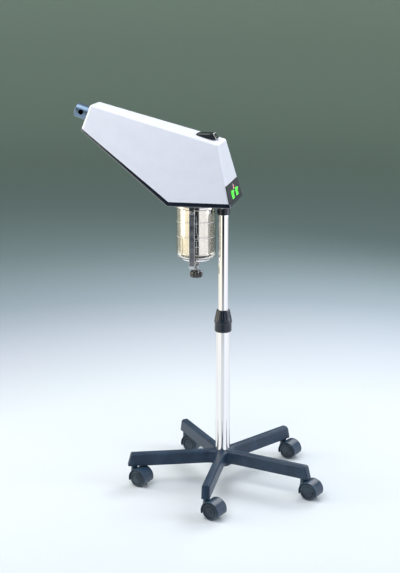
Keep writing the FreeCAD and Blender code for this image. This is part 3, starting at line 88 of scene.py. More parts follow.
def welded(name, sheets, crease=34):
    """One mesh from grids of points (rows, columns, xyz in mm). A face joins each two rows and
    columns; points that meet are welded, so seams and poles close; faces are turned outwards.
    UV holds the running length along the widest row and the longest column, in metres."""
    points, faces, lengths, start = [], [], [], 0
    for grid in sheets:
        grid = np.asarray(grid, float) * MM
        rows, columns = grid.shape[:2]
        place = start + np.arange(rows * columns).reshape(rows, columns)
        faces.append(np.stack([place[:-1, :-1], place[:-1, 1:], place[1:, 1:], place[1:, :-1]],
                              -1).reshape(-1, 4))
        across = np.linalg.norm(np.diff(grid, axis=1), axis=2)
        along = np.linalg.norm(np.diff(grid, axis=0), axis=2)
        u = np.concatenate([[0], np.cumsum(across[across.sum(1).argmax()])])
        v = np.concatenate([[0], np.cumsum(along[:, along.sum(0).argmax()])])
        lengths.append(np.stack(np.meshgrid(u, v), -1).reshape(-1, 2))
        points.append(grid.reshape(-1, 3))
        start += rows * columns
    points, faces, lengths = (np.concatenate(part) for part in (points, faces, lengths))
    mesh = bpy.data.meshes.new(name)
    mesh.from_pydata(points.tolist(), [], faces.tolist())
    mesh.uv_layers.new(name="lengths").data.foreach_set("uv", lengths[faces.ravel()].ravel())
    shell = bmesh.new()
    shell.from_mesh(mesh)
    bmesh.ops.remove_doubles(shell, verts=shell.verts, dist=2e-6)
    bmesh.ops.recalc_face_normals(shell, faces=shell.faces)
    shell.to_mesh(mesh)
    shell.free()
    mesh.shade_smooth()
    mesh.set_sharp_from_angle(angle=math.radians(crease))
    made = bpy.data.objects.new(name, mesh)
    bpy.context.scene.collection.objects.link(made)
    return made


def turned(profile, centre, axis=(0, 0, 1), steps=96, swell=None):
    """Grid of a surface of revolution: centre + h axis + r (cos t a + sin t b) for each (r, h)
    of the profile. swell(t, h) multiplies the radius."""
    profile, axis = np.asarray(profile, float), np.asarray(axis, float)
    axis = axis / np.linalg.norm(axis)
    a = np.cross([0, 1, 0] if abs(axis[1]) < 0.9 else [0, 0, 1], axis)
    a = a / np.linalg.norm(a)
    b = np.cross(axis, a)
    t = np.linspace(0, 2 * np.pi, steps + 1)[None, :, None]
    r, h = profile[:, None, :1], profile[:, None, 1:]
    if swell is not None:
        r = r * swell(t, h)
    return np.asarray(centre, float) + h * axis + r * (np.cos(t) * a + np.sin(t) * b)


def eased(corners, cut, closed=False, steps=5):
    """An outline with its corners rounded: (1-s)^2 A + 2 s (1-s) P + s^2 B, where A and B lie
    cut before and after corner P, with one more point past each so that flats stay flat."""
    corners = np.asarray(corners, float)
    back, on = np.roll(corners, 1, 0) - corners, np.roll(corners, -1, 0) - corners
    far = np.maximum(np.linalg.norm([back, on], axis=2), 1e-9)
    reach = np.minimum(np.broadcast_to(cut, len(corners)), 0.4 * far.min(0)) + 0.0
    if not closed:
        reach[[0, -1]] = 0
    back, on = back / far[0][:, None] * reach[:, None], on / far[1][:, None] * reach[:, None]
    s = np.linspace(0, 1, steps + 1)[None, :, None]
    p = corners[:, None]
    curve = (1 - s) ** 2 * (p + back[:, None]) + 2 * s * (1 - s) * p + s ** 2 * (p + on[:, None])
    line = np.concatenate([(p + 1.15 * back[:, None]), curve, (p + 1.15 * on[:, None])], 1)
    line = line.reshape(-1, corners.shape[1])
    return np.concatenate([line, line[:1]]) if closed else line


# Painted light: a colour ramp by distance from under the object paints the pool of lamp light on the
# paper and its fall-off.
painted_light_paper, tree, shader = finish("paper_painted_light_falloff", Roughness=0.75, Specular_IOR_Level=0.25)
light_pool_distance = add(tree, "VectorMath", {0: add(tree, "TexCoord").outputs["Object"], 1: (0.0, -0.1, 0.0)},
           operation="DISTANCE")
painted_light_falloff = add(tree, "ValToRGB", {"Fac": add(tree, "MapRange", {
    "Value": light_pool_distance.outputs["Value"], "From Max": 9.0}).outputs[0]})
for at, code in ((0.0, "#d9dfe2"), (0.1, "#d6dde1"), (0.17, "#c3cad4"), (0.24, "#a6b4be"),
                 (0.36, "#92a4a4"), (0.5, "#8fa39b"), (0.75, "#9caf9e"), (1.0, "#b8c9b5")):
    stop = painted_light_falloff.color_ramp.elements[0] if at == 0 else (
        painted_light_falloff.color_ramp.elements[-1] if at == 1 else painted_light_falloff.color_ramp.elements.new(at))
    stop.color = linear(code)
tree.links.new(painted_light_falloff.outputs["Color"], shader.inputs["Base Color"])
wide = eased([(0, 0), (7000, 0), (9000, 1200), (9000, 5000)], [0, 900, 700, 0], steps=10)
floor = welded("background_paper", [turned(wide, (0, 0, 0), steps=128)])
floor.data.flip_normals()
floor.data.materials.append(painted_light_paper)
floor.visible_glossy = floor.visible_transmission = False

room = bpy.data.worlds.new("dim_room")
room.use_nodes = True
bpy.context.scene.world = room
# Reflections see the room instead of the paper: white walls and floor, a little warm on the
# left and cool on the right, greyer at the back, with one dark gap between the walls in front
# and a narrow dark post on each side.
tree = room.node_tree
heading = add(tree, "TexCoord").outputs["Generated"]
level = add(tree, "VectorMath", {0: add(tree, "VectorMath", {0: heading, 1: (1.0, 1.0, 0.0)},
                                        operation="MULTIPLY").outputs[0]}, operation="NORMALIZE")
gap = add(tree, "VectorMath", {0: level.outputs[0], 1: (0.09, -0.996, 0.0)},
          operation="DOT_PRODUCT")
walls = add(tree, "ValToRGB", {"Fac": add(tree, "MapRange", {
    "Value": gap.outputs["Value"], "From Min": -1.0}).outputs[0]})
for at, code in ((0.0, "#3d4848"), (0.12, "#808b8b"), (0.28, "#ffffff"), (0.4, "#ffffff"),
                 (0.42, "#4a4740"), (0.455, "#4a4740"), (0.475, "#ffffff"), (0.945, "#ffffff"),
                 (0.965, "#39424a"), (1.0, "#161b22")):
    stop = walls.color_ramp.elements[0] if at == 0 else (
        walls.color_ramp.elements[-1] if at == 1 else walls.color_ramp.elements.new(at))
    stop.color = linear(code)
cast = add(tree, "MixRGB", {"Fac": add(tree, "MapRange", {"Value": add(
    tree, "SeparateXYZ", {0: heading}).outputs[0], "From Min": -0.5, "From Max": 0.5}).outputs[0],
    "Color1": linear("#fff6e4"), "Color2": linear("#f3f3ff")})
walls = add(tree, "MixRGB", {"Fac": 1.0, "Color1": walls.outputs[0], "Color2": cast.outputs[0]},
            blend_type="MULTIPLY")
height = add(tree, "SeparateXYZ", {0: heading}).outputs[2]
ceiling = add(tree, "MapRange", {"Value": height, "From Min": 0.3, "From Max": 0.45})
ground = add(tree, "MapRange", {"Value": height, "From Min": -0.22, "From Max": -0.31,
                                "To Max": 0.8})
whole = add(tree, "MixRGB", {"Fac": ground.outputs[0], "Color1": walls.outputs[0],
                             "Color2": linear("#dfe4ea")})
whole = add(tree, "MixRGB", {"Fac": ceiling.outputs[0], "Color1": whole.outputs[0],
                             "Color2": linear("#7c828a")})
tree.links.new(whole.outputs[0], tree.nodes["Background"].inputs["Color"])
tree.nodes["Background"].inputs["Strength"].default_value = 1.45
bpy.context.scene.view_settings.view_transform = "Standard"

for lamp, (place, aim, width, height, power, code) in {
        "overhead_soft_box": ((-0.9, -0.5, 3.0), (0.0, 0.1, 0.5), 2.2, 2.2, 54, "#ffffff"),
        "left_soft_box": ((-2.3, -0.3, 1.2), (0.0, 0.0, 0.7), 0.9, 2.0, 26, "#fff6e6"),
        "right_soft_box": ((2.2, 0.3, 1.3), (0.0, 0.0, 0.8), 0.8, 2.0, 30, "#f4f6ff"),
        "front_soft_box": ((-0.2, -3.2, 2.8), (0.0, 0.0, 0.8), 1.6, 1.0, 30, "#eeeeff"),
        "back_soft_box": ((0.9, 2.2, 2.0), (0.0, 0.0, 0.9), 1.8, 1.0, 44, "#ffffff")}.items():
    light = bpy.data.lights.new(lamp, "AREA")
    light.shape, light.size, light.size_y = "RECTANGLE", width, height
    light.energy, light.color = power, linear(code)[:3]
    stand = bpy.data.objects.new(lamp, light)
    stand.location = place
    stand.rotation_mode = "QUATERNION"
    stand.rotation_quaternion = (Vector(aim) - Vector(place)).to_track_quat("-Z", "Y")
    stand.visible_camera = False
    stand.visible_glossy = lamp != "front_soft_box"
    bpy.context.scene.collection.objects.link(stand)

camera = bpy.data.objects.new("camera", bpy.data.cameras.new("camera"))
camera.data.lens = 77.5
camera.data.shift_y = -0.15
camera.location = (0.628, -3.423, 1.497)
camera.rotation_euler = (math.radians(90 - 10.59), 0, math.radians(11.51))
bpy.context.scene.collection.objects.link(camera)
bpy.context.scene.camera = camera


# ---- Star base --------------------------------------------------------------------------
# One moulding of glass-filled nylon: a hub with a blind socket for the tube and five channel
# legs with bevelled tops that flare where they run into the hub. Blue-black, dull, with the
# fine grain of a spark-eroded mould and a lighter bloom where it has been scuffed.

def carried(section, path, side):
    """Grid of a flat section (s, t) carried along a path: path + s side + t up, where up is
    square to the path and to side. The first and last rows close on their middles."""
    section, path, side = (np.asarray(part, float) for part in (section, path, side))
    ahead = np.gradient(path, axis=0)
    ahead = ahead / np.linalg.norm(ahead, axis=1)[:, None]
    up = np.cross(ahead, side)
    grid = (path[:, None] + section[None, :, :1] * side + section[None, :, 1:] * up[:, None])
    return closed_ends(grid)


def closed_ends(grid):
    """The grid with a row at each end drawn together at its middle."""
    first, last = (np.broadcast_to(row[:-1].mean(0), row.shape) for row in (grid[0], grid[-1]))
    return np.concatenate([first[None], grid, last[None]])


def moulded(name, colour, worn, grain, dull, depth=0.25, coat=0.0, scuffs=0.35, index=1.35):
    """A moulded plastic: colour clouded towards worn over some 40 mm, an eroded grain of grain
    mm as bump, and roughness that wanders about dull. coat and index give the polished skin."""
    material, tree, shader = finish(name, IOR=1.5, Specular_IOR_Level=0.35, Coat_Weight=coat,
                                    Coat_Roughness=0.08, Coat_IOR=index)
    place = add(tree, "TexCoord").outputs["Object"]
    cloud = add(tree, "TexNoise", {"Vector": place, "Scale": 1 / 0.04, "Detail": 5.0,
                                   "Roughness": 0.6})
    speck = add(tree, "TexNoise", {"Vector": place, "Scale": 1 / (grain * MM), "Detail": 2.0})
    share = add(tree, "MapRange", {"Value": cloud.outputs["Fac"], "From Min": 0.42,
                                   "From Max": 0.78, "To Max": scuffs})
    tint = add(tree, "MixRGB", {"Fac": share.outputs[0], "Color1": linear(colour),
                                "Color2": linear(worn)})
    rough = add(tree, "MapRange", {"Value": cloud.outputs["Fac"], "From Min": 0.3,
                                   "From Max": 0.7, "To Min": dull - 0.05, "To Max": dull + 0.07})
    bump = add(tree, "Bump", {"Height": speck.outputs["Fac"], "Strength": depth,
                              "Distance": 0.04 * MM})
    tree.links.new(tint.outputs[0], shader.inputs["Base Color"])
    tree.links.new(rough.outputs[0], shader.inputs["Roughness"])
    tree.links.new(bump.outputs[0], shader.inputs["Normal"])
    return material


def shown(made, body, slot, material, *stands_for):
    """A finished piece: its material, the body that it rides on, its slot, which is not used, and
    the CAD nodes that it stands for."""
    made.data.materials.clear()
    made.data.materials.append(material)
    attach(made, body)
    if stands_for:
        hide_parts(*stands_for)
    return made


def recoat(material, *nodes):
    """A better finish on CAD nodes whose shape is right."""
    for node in nodes:
        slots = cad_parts[node].material_slots
        for place in slots:
            place.material = material


glass_filled_nylon = moulded("glass_filled_nylon", "#1f3347", "#47607a", 1.6, 0.42, depth=0.5)

LEG_HALF, LEG_FOOT, LEG_TOP, LEG_BEVEL = 12, 57, 95, 5
FIRST_LEG = math.radians(198.6)
cheek = [(-LEG_HALF, LEG_FOOT), (-LEG_HALF, LEG_TOP - LEG_BEVEL), (-LEG_HALF + LEG_BEVEL, LEG_TOP),
         (LEG_HALF - LEG_BEVEL, LEG_TOP), (LEG_HALF, LEG_TOP - LEG_BEVEL), (LEG_HALF, LEG_FOOT)]
channel = eased(cheek + [(8.5, LEG_FOOT), (8.5, 90), (-8.5, 90), (-8.5, LEG_FOOT)], 0.9, True, 3)
block = eased(cheek, 0.9, True, 3)


def leg_grid(section, stations, swelling):
    """Grid of a leg's section (y, z) set at distances x from the hub's axis. swelling widens it
    near the hub; a station of (x, inset, slant) also shrinks and leans it at the end."""
    x, inset, slant = (np.array(column, float)[:, None] for column in zip(*stations))
    y, z = section[:, 0][None], section[:, 1][None]
    flare = swelling * np.clip((52 - x) / 30, 0, 1) ** 2
    wide = y * (1 + flare / LEG_HALF) * (1 - inset / LEG_HALF)
    high = np.where(z > 76, z - inset * (z - 76) / 19 + 1.5 * flare / 8 * (z > 88), z + inset * 0.3)
    reach = x - slant * (z - LEG_FOOT) * 9 / 38
    return closed_ends(np.stack([reach + 0 * wide, wide + 0 * x, high + 0 * wide], -1))


inner = [(x, 0, 0) for x in (20, 24, 28, 32, 36, 40, 44, 48, 52, 90, 130, 170, 210, 253)]
outer = [(253, 0, 0), (262, 0, 0.6), (276, 0, 1), (279, 0, 1), (280.6, 0.4, 1), (281.9, 1.2, 1),
         (282.7, 2.3, 1), (283, 3.6, 1)]
sheets = []
for k in range(5):
    heading = FIRST_LEG + k * math.tau / 5
    c, s = math.cos(heading), math.sin(heading)
    for grid in (leg_grid(channel, inner, 7), leg_grid(block, outer, 0)):
        sheets.append(grid @ np.array([[c, s, 0], [-s, c, 0], [0, 0, 1]]))
hub = eased([(0, 48), (26, 48), (28, 50), (28, 88), (25.5, 91.5), (23.5, 93), (23.5, 96.5),
             (21.05, 97), (21.05, 52), (0, 52)], [0, 1, 1.5, 2, 1, 1, 1.5, 0.4, 0, 0])
sheets.append(turned(hub, (0, 0, 0)))
shown(welded("star_base_moulding", sheets), "stand", "nylon_base", glass_filled_nylon, "star_base")


# ---- Castors ----------------------------------------------------------------------------
# Five twin-wheel furniture castors. Each has a nylon hood with a middle web on a steel stem
# pressed into the leg, and two nylon wheels on a steel axle. The wheel's face carries three
# turned rings; its tread is rubbed grey by the floor.

def stacked(outline, levels, origin, across, up, out):
    """Grid of a closed outline (a, b) set at levels of (height, inset): origin + a across +
    b up + height out, each outline moved in along its own normals; both ends closed."""
    outline = np.asarray(outline, float)
    around = outline[:-1]
    run = np.roll(around, -1, 0) - np.roll(around, 1, 0)
    square = np.stack([run[:, 1], -run[:, 0]], 1)
    square = square / np.maximum(np.linalg.norm(square, axis=1), 1e-9)[:, None]
    turn = np.cross(around - around.mean(0), np.roll(around, -1, 0) - around).sum()
    square = np.concatenate([square, square[:1]]) * (1 if turn > 0 else -1)
    height, inset = (np.array(column, float)[:, None, None] for column in zip(*levels))
    flat = outline[None] - inset * square[None]
    origin, across, up, out = (np.asarray(part, float) for part in (origin, across, up, out))
    return closed_ends(origin + flat[..., :1] * across + flat[..., 1:] * up + height * out)


hood_nylon = moulded("moulded_hood_nylon", "#22384b", "#587086", 1.2, 0.36, depth=0.35)
tread_nylon = moulded("worn_wheel_nylon", "#1b2b39", "#5d6d79", 0.9, 0.48, depth=0.4, scuffs=0.6)

bright_pin, tree, shader = finish("drawn_steel_pin", Metallic=1.0)
# Cold-drawn bar: bright grey steel with faint lines along its length.
place = add(tree, "TexCoord").outputs["Object"]
lines = add(tree, "TexNoise", {"Vector": add(tree, "Mapping", {"Vector": place, "Scale": (
    900.0, 900.0, 40.0)}).outputs[0], "Scale": 1.0, "Detail": 3.0})
tree.links.new(add(tree, "MixRGB", {"Fac": lines.outputs["Fac"], "Color1": linear("#9a9c9c"),
                                    "Color2": linear("#c6c8c7")}).outputs[0],
               shader.inputs["Base Color"])
tree.links.new(add(tree, "MapRange", {"Value": lines.outputs["Fac"], "To Min": 0.2,
                                      "To Max": 0.36}).outputs[0], shader.inputs["Roughness"])
recoat(bright_pin, "castor_stems")

HOOD, HOOD_WALL, HOOD_HALF, AXLE_UP = 29, 2.7, 23, 25
CASTOR_HEADING = math.radians(-21)
trail = np.array([math.cos(CASTOR_HEADING), math.sin(CASTOR_HEADING), 0])
beside = np.array([-trail[1], trail[0], 0])
upright = np.array([0, 0, 1.0])
disc = [(0, 22), (7.4, 22), (8.4, 20.6), (14.8, 21.3), (15.8, 19.4), (18.2, 19.4), (19.2, 21.7),
        (23, 21.5), (25, 19.6), (25, 5.6), (24, 4), (3.05, 4), (3.05, 21), (0, 21)]
disc = eased(disc, [0, 0.5, 0.5, 0.4, 0.4, 0.4, 0.4, 1.2, 1.6, 0.8, 0.8, 0.2, 0, 0], steps=3)
sweep = np.radians(np.linspace(-18, 198, 49))
rim = eased([(-HOOD_HALF, -HOOD_WALL), (-HOOD_HALF, 0), (HOOD_HALF, 0), (HOOD_HALF, -HOOD_WALL)],
            [0.6, 1.1, 1.1, 0.6], True, 3)
web_edge = np.radians(np.linspace(-20, 200, 41))
web = np.stack([27 * np.cos(web_edge), 27 * np.sin(web_edge)], 1)
web = np.concatenate([web, web[:1]])
for k in range(1, 6):
    low, high = (np.array(corner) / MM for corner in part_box(f"castor_{k}_axle"))
    middle = (low + high) / 2
    stem = middle - 24 * trail - AXLE_UP * upright
    arch = middle + HOOD * (np.cos(sweep)[:, None] * trail + np.sin(sweep)[:, None] * upright)
    boss = eased([(5.05, 45), (5.05, 56.4), (8.6, 56.4), (9.5, 55.5), (9.5, 40), (11.5, 34),
                  (5.05, 34), (5.05, 45)], [0, 0.3, 0.5, 0.5, 2, 0, 0, 0], steps=3)
    collar = turned(boss, stem, steps=48)
    hood = [carried(rim, arch[::-1], beside), collar,
            stacked(web, [(-3.5, 0.5), (-3, 0), (3, 0), (3.5, 0.5)], middle, trail, upright, beside)]
    body = f"castor_{k}"
    shown(welded(f"castor_{k}_hood_moulding", hood), body, "nylon_base", hood_nylon,
          f"castor_{k}_hood")
    recoat(bright_pin, f"castor_{k}_axle")
    for side, out in (("left", -beside), ("right", beside)):
        node = f"castor_{k}_wheel_{side}"
        wheel_low, wheel_high = (np.array(corner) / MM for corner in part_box(node))
        outward = out if np.dot((wheel_low + wheel_high) / 2 - middle, out) > 0 else -out
        shown(welded(node + "_disc", [turned(disc, middle, outward, 72)]), node, "nylon_base",
              tread_nylon, node)


# ---- Telescopic column ------------------------------------------------------------------
# Two steel tubes, polished and chromed, one sliding in the other on nylon bushes. The chrome
# is a mirror with hair-fine wiping marks along the tube and a faint haze of handling.

def chromed(name, tone, haze):
    """Chromium plate: a mirror whose roughness is raised by long fine marks, stretched forty
    to one along the piece's UV rows, and by cloudy handling some 60 mm across."""
    material, tree, shader = finish(name, Metallic=1.0, Base_Color=linear(tone))
    marks = add(tree, "TexNoise", {"Vector": add(tree, "Mapping", {
        "Vector": add(tree, "UVMap", uv_map="lengths").outputs[0], "Scale": (1600.0, 40.0, 1.0),
        }).outputs[0], "Scale": 1.0, "Detail": 4.0})
    cloud = add(tree, "TexNoise", {"Vector": add(tree, "TexCoord").outputs["Object"],
                                   "Scale": 1 / 0.06, "Detail": 3.0})
    both = add(tree, "Math", {0: marks.outputs["Fac"], 1: cloud.outputs["Fac"]},
               operation="MULTIPLY")
    tree.links.new(add(tree, "MapRange", {"Value": both.outputs[0], "From Min": 0.1,
                                          "From Max": 0.45, "To Min": 0.03, "To Max": haze}
                       ).outputs[0], shader.inputs["Roughness"])
    tree.links.new(add(tree, "Bump", {"Height": marks.outputs["Fac"], "Strength": 0.12,
                                      "Distance": 0.01 * MM}).outputs[0], shader.inputs["Normal"])
    return material


def ring_wall(outer, bore, low, high, edge=0.6):
    """Profile of a tube wall, edges eased, closed on itself."""
    return eased([(bore, low), (outer, low), (outer, high), (bore, high)], edge, True, 3)


chrome_plate = chromed("chrome_plate", "#e6e6e6", 0.11)
shown(welded("lower_tube_chromed", [turned(ring_wall(21, 19.5, 52, 470), (0, 0, 0))]), "stand",
      "chrome", chrome_plate, "lower_tube")
shown(welded("upper_tube_chromed", [turned(ring_wall(15, 13.5, 200, 870), (0, 0, 0))]), "mast",
      "chrome", chrome_plate, "upper_tube")
slip_nylon = moulded("natural_nylon_bush", "#d9d6c8", "#b9b5a3", 0.8, 0.5, depth=0.2)
recoat(slip_nylon, "column_bush", "mast_foot_bush", "lock_collet")


# ---- Height lock ------------------------------------------------------------------------
# A black acetal collar fixed on the lower tube and the tapered nut that screws down on it to
# close the split ring. The nut has shallow flutes for the fingers; both are glossier than the
# base because they were moulded in a polished tool.

glossy_acetal = moulded("glossy_black_acetal", "#131e2a", "#2d3f50", 0.7, 0.22, depth=0.12,
                        coat=0.3, scuffs=0.25)
collar = eased([(21.02, 458), (22.6, 458), (25, 460.5), (25, 484), (26, 485.6), (26, 488),
                (17.8, 488), (17.8, 470), (21.02, 470)],
               [0, 0.8, 2, 1.2, 0.8, 0.5, 0.2, 0, 0], True, 4)
shown(welded("lock_collar_moulding", [turned(collar, (0, 0, 0))]), "stand", "nylon_black",
      glossy_acetal, "lock_collar")
cone = [(26, 488.3), (26, 490.6), (25.2, 492)] + [
    (25.2 - 5.4 * i / 7, 495 + 3.6 * i) for i in range(8)] + [
    (18.6, 522.4), (17.6, 523), (15.5, 523), (15.5, 508), (17.8, 506), (17.8, 488.3)]
cone = eased(cone, [0.4, 0.7, 0.7] + [0.1] * 8 + [0.5, 0.4, 0.2, 0, 0, 0.2], True, 2)


def fluted(t, h):
    """Twelve finger flutes, 0.9 mm deep, dying away towards both ends of the nut's cone."""
    span = np.clip((h - 496) / 5, 0, 1) * np.clip((521 - h) / 3, 0, 1)
    return 1 - 0.04 * span * np.clip(np.cos(12 * t), 0, 1) ** 1.5


nut = turned(cone, (0, 0, 0), steps=144, swell=fluted)
inside = np.linalg.norm(nut[..., :2], axis=-1) < 18.2
nut[inside] = turned(cone, (0, 0, 0), steps=144)[inside]
shown(welded("lock_nut_moulding", [nut]), "lock_nut", "nylon_black", glossy_acetal, "lock_nut")


# ---- Head socket and tray ---------------------------------------------------------------
# The socket is a turned black acetal plug, blind on top, that sits on the upper tube. The
# tray is a deep ABS moulding, polished like a piano lid, so its lower edge catches a thin
# bright line; every working piece of the head is screwed to it.

socket = eased([(15.05, 806), (18, 806), (19, 807), (19, 844.5), (30, 844.5), (30, 849.5),
                (19, 849.5), (19, 876), (0, 876), (0, 870.3), (15.05, 870.3)],
               [0.3, 0.8, 0.8, 0.4, 0.8, 0.8, 0.4, 0.8, 0, 0, 0.3], True, 3)
shown(welded("head_socket_turned", [turned(socket, (0, 0, 0))]), "head", "nylon_black",
      glossy_acetal, "head_socket")
polished_abs = moulded("polished_black_abs", "#0e1826", "#1c2a3d", 2.5, 0.16, depth=0.05,
                       coat=1.0, scuffs=0.2, index=1.75)
recoat(polished_abs, "tray")


# ---- Boiler: lid, seal, guard, heater and level probe -----------------------------------
# Stainless steel, pressed and polished, with the long soft marks of a felt wheel. The open
# guard keeps hands and scale off the hairpin heater; a silicone ring seals lid to glass.


def buffed(name, tone, stretch, low, high):
    """Buffed metal: fine marks drawn out along one direction by stretch (marks per metre in
    x, y, z) tint the metal a little and spread its roughness between low and high."""
    material, tree, shader = finish(name, Metallic=1.0)
    marks = add(tree, "TexNoise", {"Vector": add(tree, "Mapping", {
        "Vector": add(tree, "TexCoord").outputs["Object"], "Scale": stretch}).outputs[0],
        "Scale": 1.0, "Detail": 4.0, "Roughness": 0.65})
    light, dark = linear(tone), [0.72 * c for c in linear(tone)[:3]] + [1.0]
    tree.links.new(add(tree, "MixRGB", {"Fac": marks.outputs["Fac"], "Color1": light,
                                        "Color2": dark}).outputs[0], shader.inputs["Base Color"])
    tree.links.new(add(tree, "MapRange", {"Value": marks.outputs["Fac"], "From Min": 0.3,
                                          "From Max": 0.7, "To Min": low, "To Max": high}
                       ).outputs[0], shader.inputs["Roughness"])
    tree.links.new(add(tree, "Bump", {"Height": marks.outputs["Fac"], "Strength": 0.15,
                                      "Distance": 0.02 * MM}).outputs[0], shader.inputs["Normal"])
    return material


felted_steel = buffed("felt_polished_stainless", "#e6e4de", (60.0, 60.0, 12.0), 0.03, 0.12)
drawn_steel = buffed("drawn_stainless_tube", "#bfc0bd", (400.0, 400.0, 30.0), 0.16, 0.34)
recoat(felted_steel, "boiler_lid")
JAR = np.array([-80.0, 0, 0])
GUARD, GUARD_LOW, LID_LOW = 49, 690, 830
guard = ring_wall(GUARD, GUARD - 1.5, GUARD_LOW, LID_LOW, 0.5)
bead = [(GUARD + 0.9 * math.sin(a), GUARD_LOW + 2.5 - 0.9 * math.cos(a))
        for a in np.linspace(0, math.pi, 9)]
inmost = GUARD - 0.1
bead = [(inmost, 691.6)] + bead + [(inmost, 693.4), (inmost, 691.6)]
shown(welded("heater_guard_spun", [turned(guard, JAR), turned(bead, JAR)]), "head",
      "polished_steel", felted_steel, "heater_guard")

silicone = moulded("milky_silicone_rubber", "#b8b2a6", "#8f8a80", 0.8, 0.55, depth=0.2)
lip = [(53.75 + 3.7 * math.cos(a), 825 + 0.98 * math.sin(a)) for a in np.linspace(0, math.tau, 25)]
shown(welded("jar_seal_moulding", [turned(lip, JAR)]), "head", "rubber", silicone, "jar_gasket")

nickel_sheath = buffed("oxidised_heater_sheath", "#8d877c", (300.0, 300.0, 60.0), 0.3, 0.5)
rod = np.linspace(0, 2 * np.pi, 25)
rod = np.stack([3.98 * np.cos(rod), 3.98 * np.sin(rod)], 1)


def bent(x, half, high, low, bend):
    """The route of a rod or strap down, across and up again at x, with its corners bent."""
    path = eased([(x, -half, high), (x, -half, low), (x, half, low), (x, half, high)], bend,
                 steps=10)
    return path[np.concatenate([[True], np.linalg.norm(np.diff(path, axis=0), axis=1) > 1e-6])]


hairpin = bent(-72, 14, 829.9, 704, 10)
shown(welded("heater_hairpin", [carried(rod, hairpin, (1, 0, 0))]), "head", "steel",
      nickel_sheath, "heater_element")
probe = eased([(0, 716), (1.6, 716.4), (2.5, 718.5), (2.5, 829.9), (0, 829.9)], 0.6)
shown(welded("level_probe_rod", [turned(probe, (-100, 25, 0), steps=32)]), "head", "steel",
      drawn_steel, "level_probe")


# ---- Boiler jar -------------------------------------------------------------------------
# A blown borosilicate jar, 3 mm thick, thicker in its rounded heel, with a fire-polished rim.
# Two filling rings, a plumb line and a small frame are fired on it in white enamel.

blown_glass, tree, shader = finish("blown_borosilicate", IOR=1.47, Transmission_Weight=1.0,
                                   Base_Color=linear("#fbfaf4"), Roughness=0.0)
streak = add(tree, "TexNoise", {"Vector": add(tree, "Mapping", {
    "Vector": add(tree, "TexCoord").outputs["Object"], "Scale": (45.0, 45.0, 9.0)}).outputs[0],
    "Scale": 1.0, "Detail": 2.0})
tree.links.new(add(tree, "Bump", {"Height": streak.outputs["Fac"], "Strength": 0.25,
                                  "Distance": 0.4 * MM}).outputs[0], shader.inputs["Normal"])
tree.links.new(add(tree, "MapRange", {"Value": streak.outputs["Fac"], "To Min": 0.0,
                                      "To Max": 0.04}).outputs[0], shader.inputs["Roughness"])
jar = eased([(0, 677), (57, 677), (57, 824), (54, 824), (54, 681), (0, 681)],
            [0, 12, 1.3, 1.3, 9, 0], steps=12)
shown(welded("boiler_jar_blown", [turned(jar, JAR, steps=128)]), "jar_carrier", "glass",
      blown_glass, "boiler_jar")

fired_enamel, tree, shader = finish("fired_white_enamel", Roughness=0.4)
print_edge = add(tree, "TexNoise", {"Vector": add(tree, "TexCoord").outputs["Object"],
                                    "Scale": 1 / (1.5 * MM), "Detail": 2.0})
tree.links.new(add(tree, "MixRGB", {"Fac": print_edge.outputs["Fac"], "Color1": linear("#ffffff"),
                                    "Color2": linear("#d9dad6")}).outputs[0],
               shader.inputs["Base Color"])
line = eased([(-0.5, -0.06), (0.5, -0.06), (0.5, 0.06), (-0.5, 0.06)], 0.02, True, 1)
FRONT = math.radians(-78)


def on_glass(along, height):
    """Points on the glass: along is measured round the jar in mm from its front line."""
    turn = FRONT + np.asarray(along, float) / 57
    ring = np.stack([np.cos(turn), np.sin(turn), 0 * turn], 1) * 57.05
    return JAR + ring + np.outer(np.broadcast_to(height, turn.shape), [0, 0, 1])


def mark(along, height):
    """A printed line on the glass, 1 mm wide, along points given round and up the jar."""
    path = on_glass(along, height)
    outwards = (path - JAR) * [1, 1, 0]
    outwards = outwards / np.linalg.norm(outwards, axis=1)[:, None]
    ahead = np.gradient(path, axis=0)
    side = np.cross(outwards, ahead)
    side = side / np.linalg.norm(side, axis=1)[:, None]
    return closed_ends(path[:, None] + line[None, :, :1] * side[:, None]
                       + line[None, :, 1:] * outwards[:, None])


enamel = [mark(np.linspace(-92, 60, 60), 786.0), mark(np.linspace(-92, 60, 60), 742.0),
          mark(np.linspace(-12, 12, 12), 718.0), mark(np.zeros(12), np.linspace(758, 808, 12)),
          mark(np.zeros(8), np.linspace(700, 734, 8))]
for left, right, low, high in ((-5, 5, 754, 754), (-5, 5, 736, 736), (-5, -5, 736, 754),
                               (5, 5, 736, 754)):
    enamel.append(mark(np.linspace(left, right, 6), np.linspace(low, high, 6)))
shown(welded("jar_level_marks", enamel, 60), "jar_carrier", "glass", fired_enamel)


# ---- Pressure cup, stirrup and clamp ----------------------------------------------------
# A spun chromed cup carries the jar. Below it a flat strap of polished spring steel, bent to
# a stirrup, hangs on two knurled screws; the knob's threaded spindle presses the cup up.

cup = eased([(0, 666), (24, 666), (40, 671), (42, 675.4), (42, 677), (39.4, 677), (38, 673.8),
             (23.4, 669), (0, 669)], [0, 5, 4, 0.8, 0.6, 0.8, 3, 5, 0], steps=5)
shown(welded("pressure_cup_spun", [turned(cup, JAR)]), "jar_carrier", "polished_steel",
      chrome_plate, "pressure_cup")

spring_steel = buffed("polished_spring_steel", "#c3c6ca", (12.0, 60.0, 60.0), 0.08, 0.22)
strap = eased([(-8, -3), (8, -3), (8, 0), (-8, 0)], [0.7, 0.7, 1.1, 1.1], True, 3)
bow = bent(-80, 66, 827.8, 653, 11)
nut_boss = eased([(4.05, 646), (7.2, 646), (8, 646.8), (8, 653.2), (4.05, 653.2)],
                 [0, 0.4, 0.4, 0, 0], True, 3)
shown(welded("stirrup_strap", [carried(strap, bow, (1, 0, 0)), turned(nut_boss, JAR, steps=48)]),
      "head", "polished_steel", spring_steel, "stirrup")


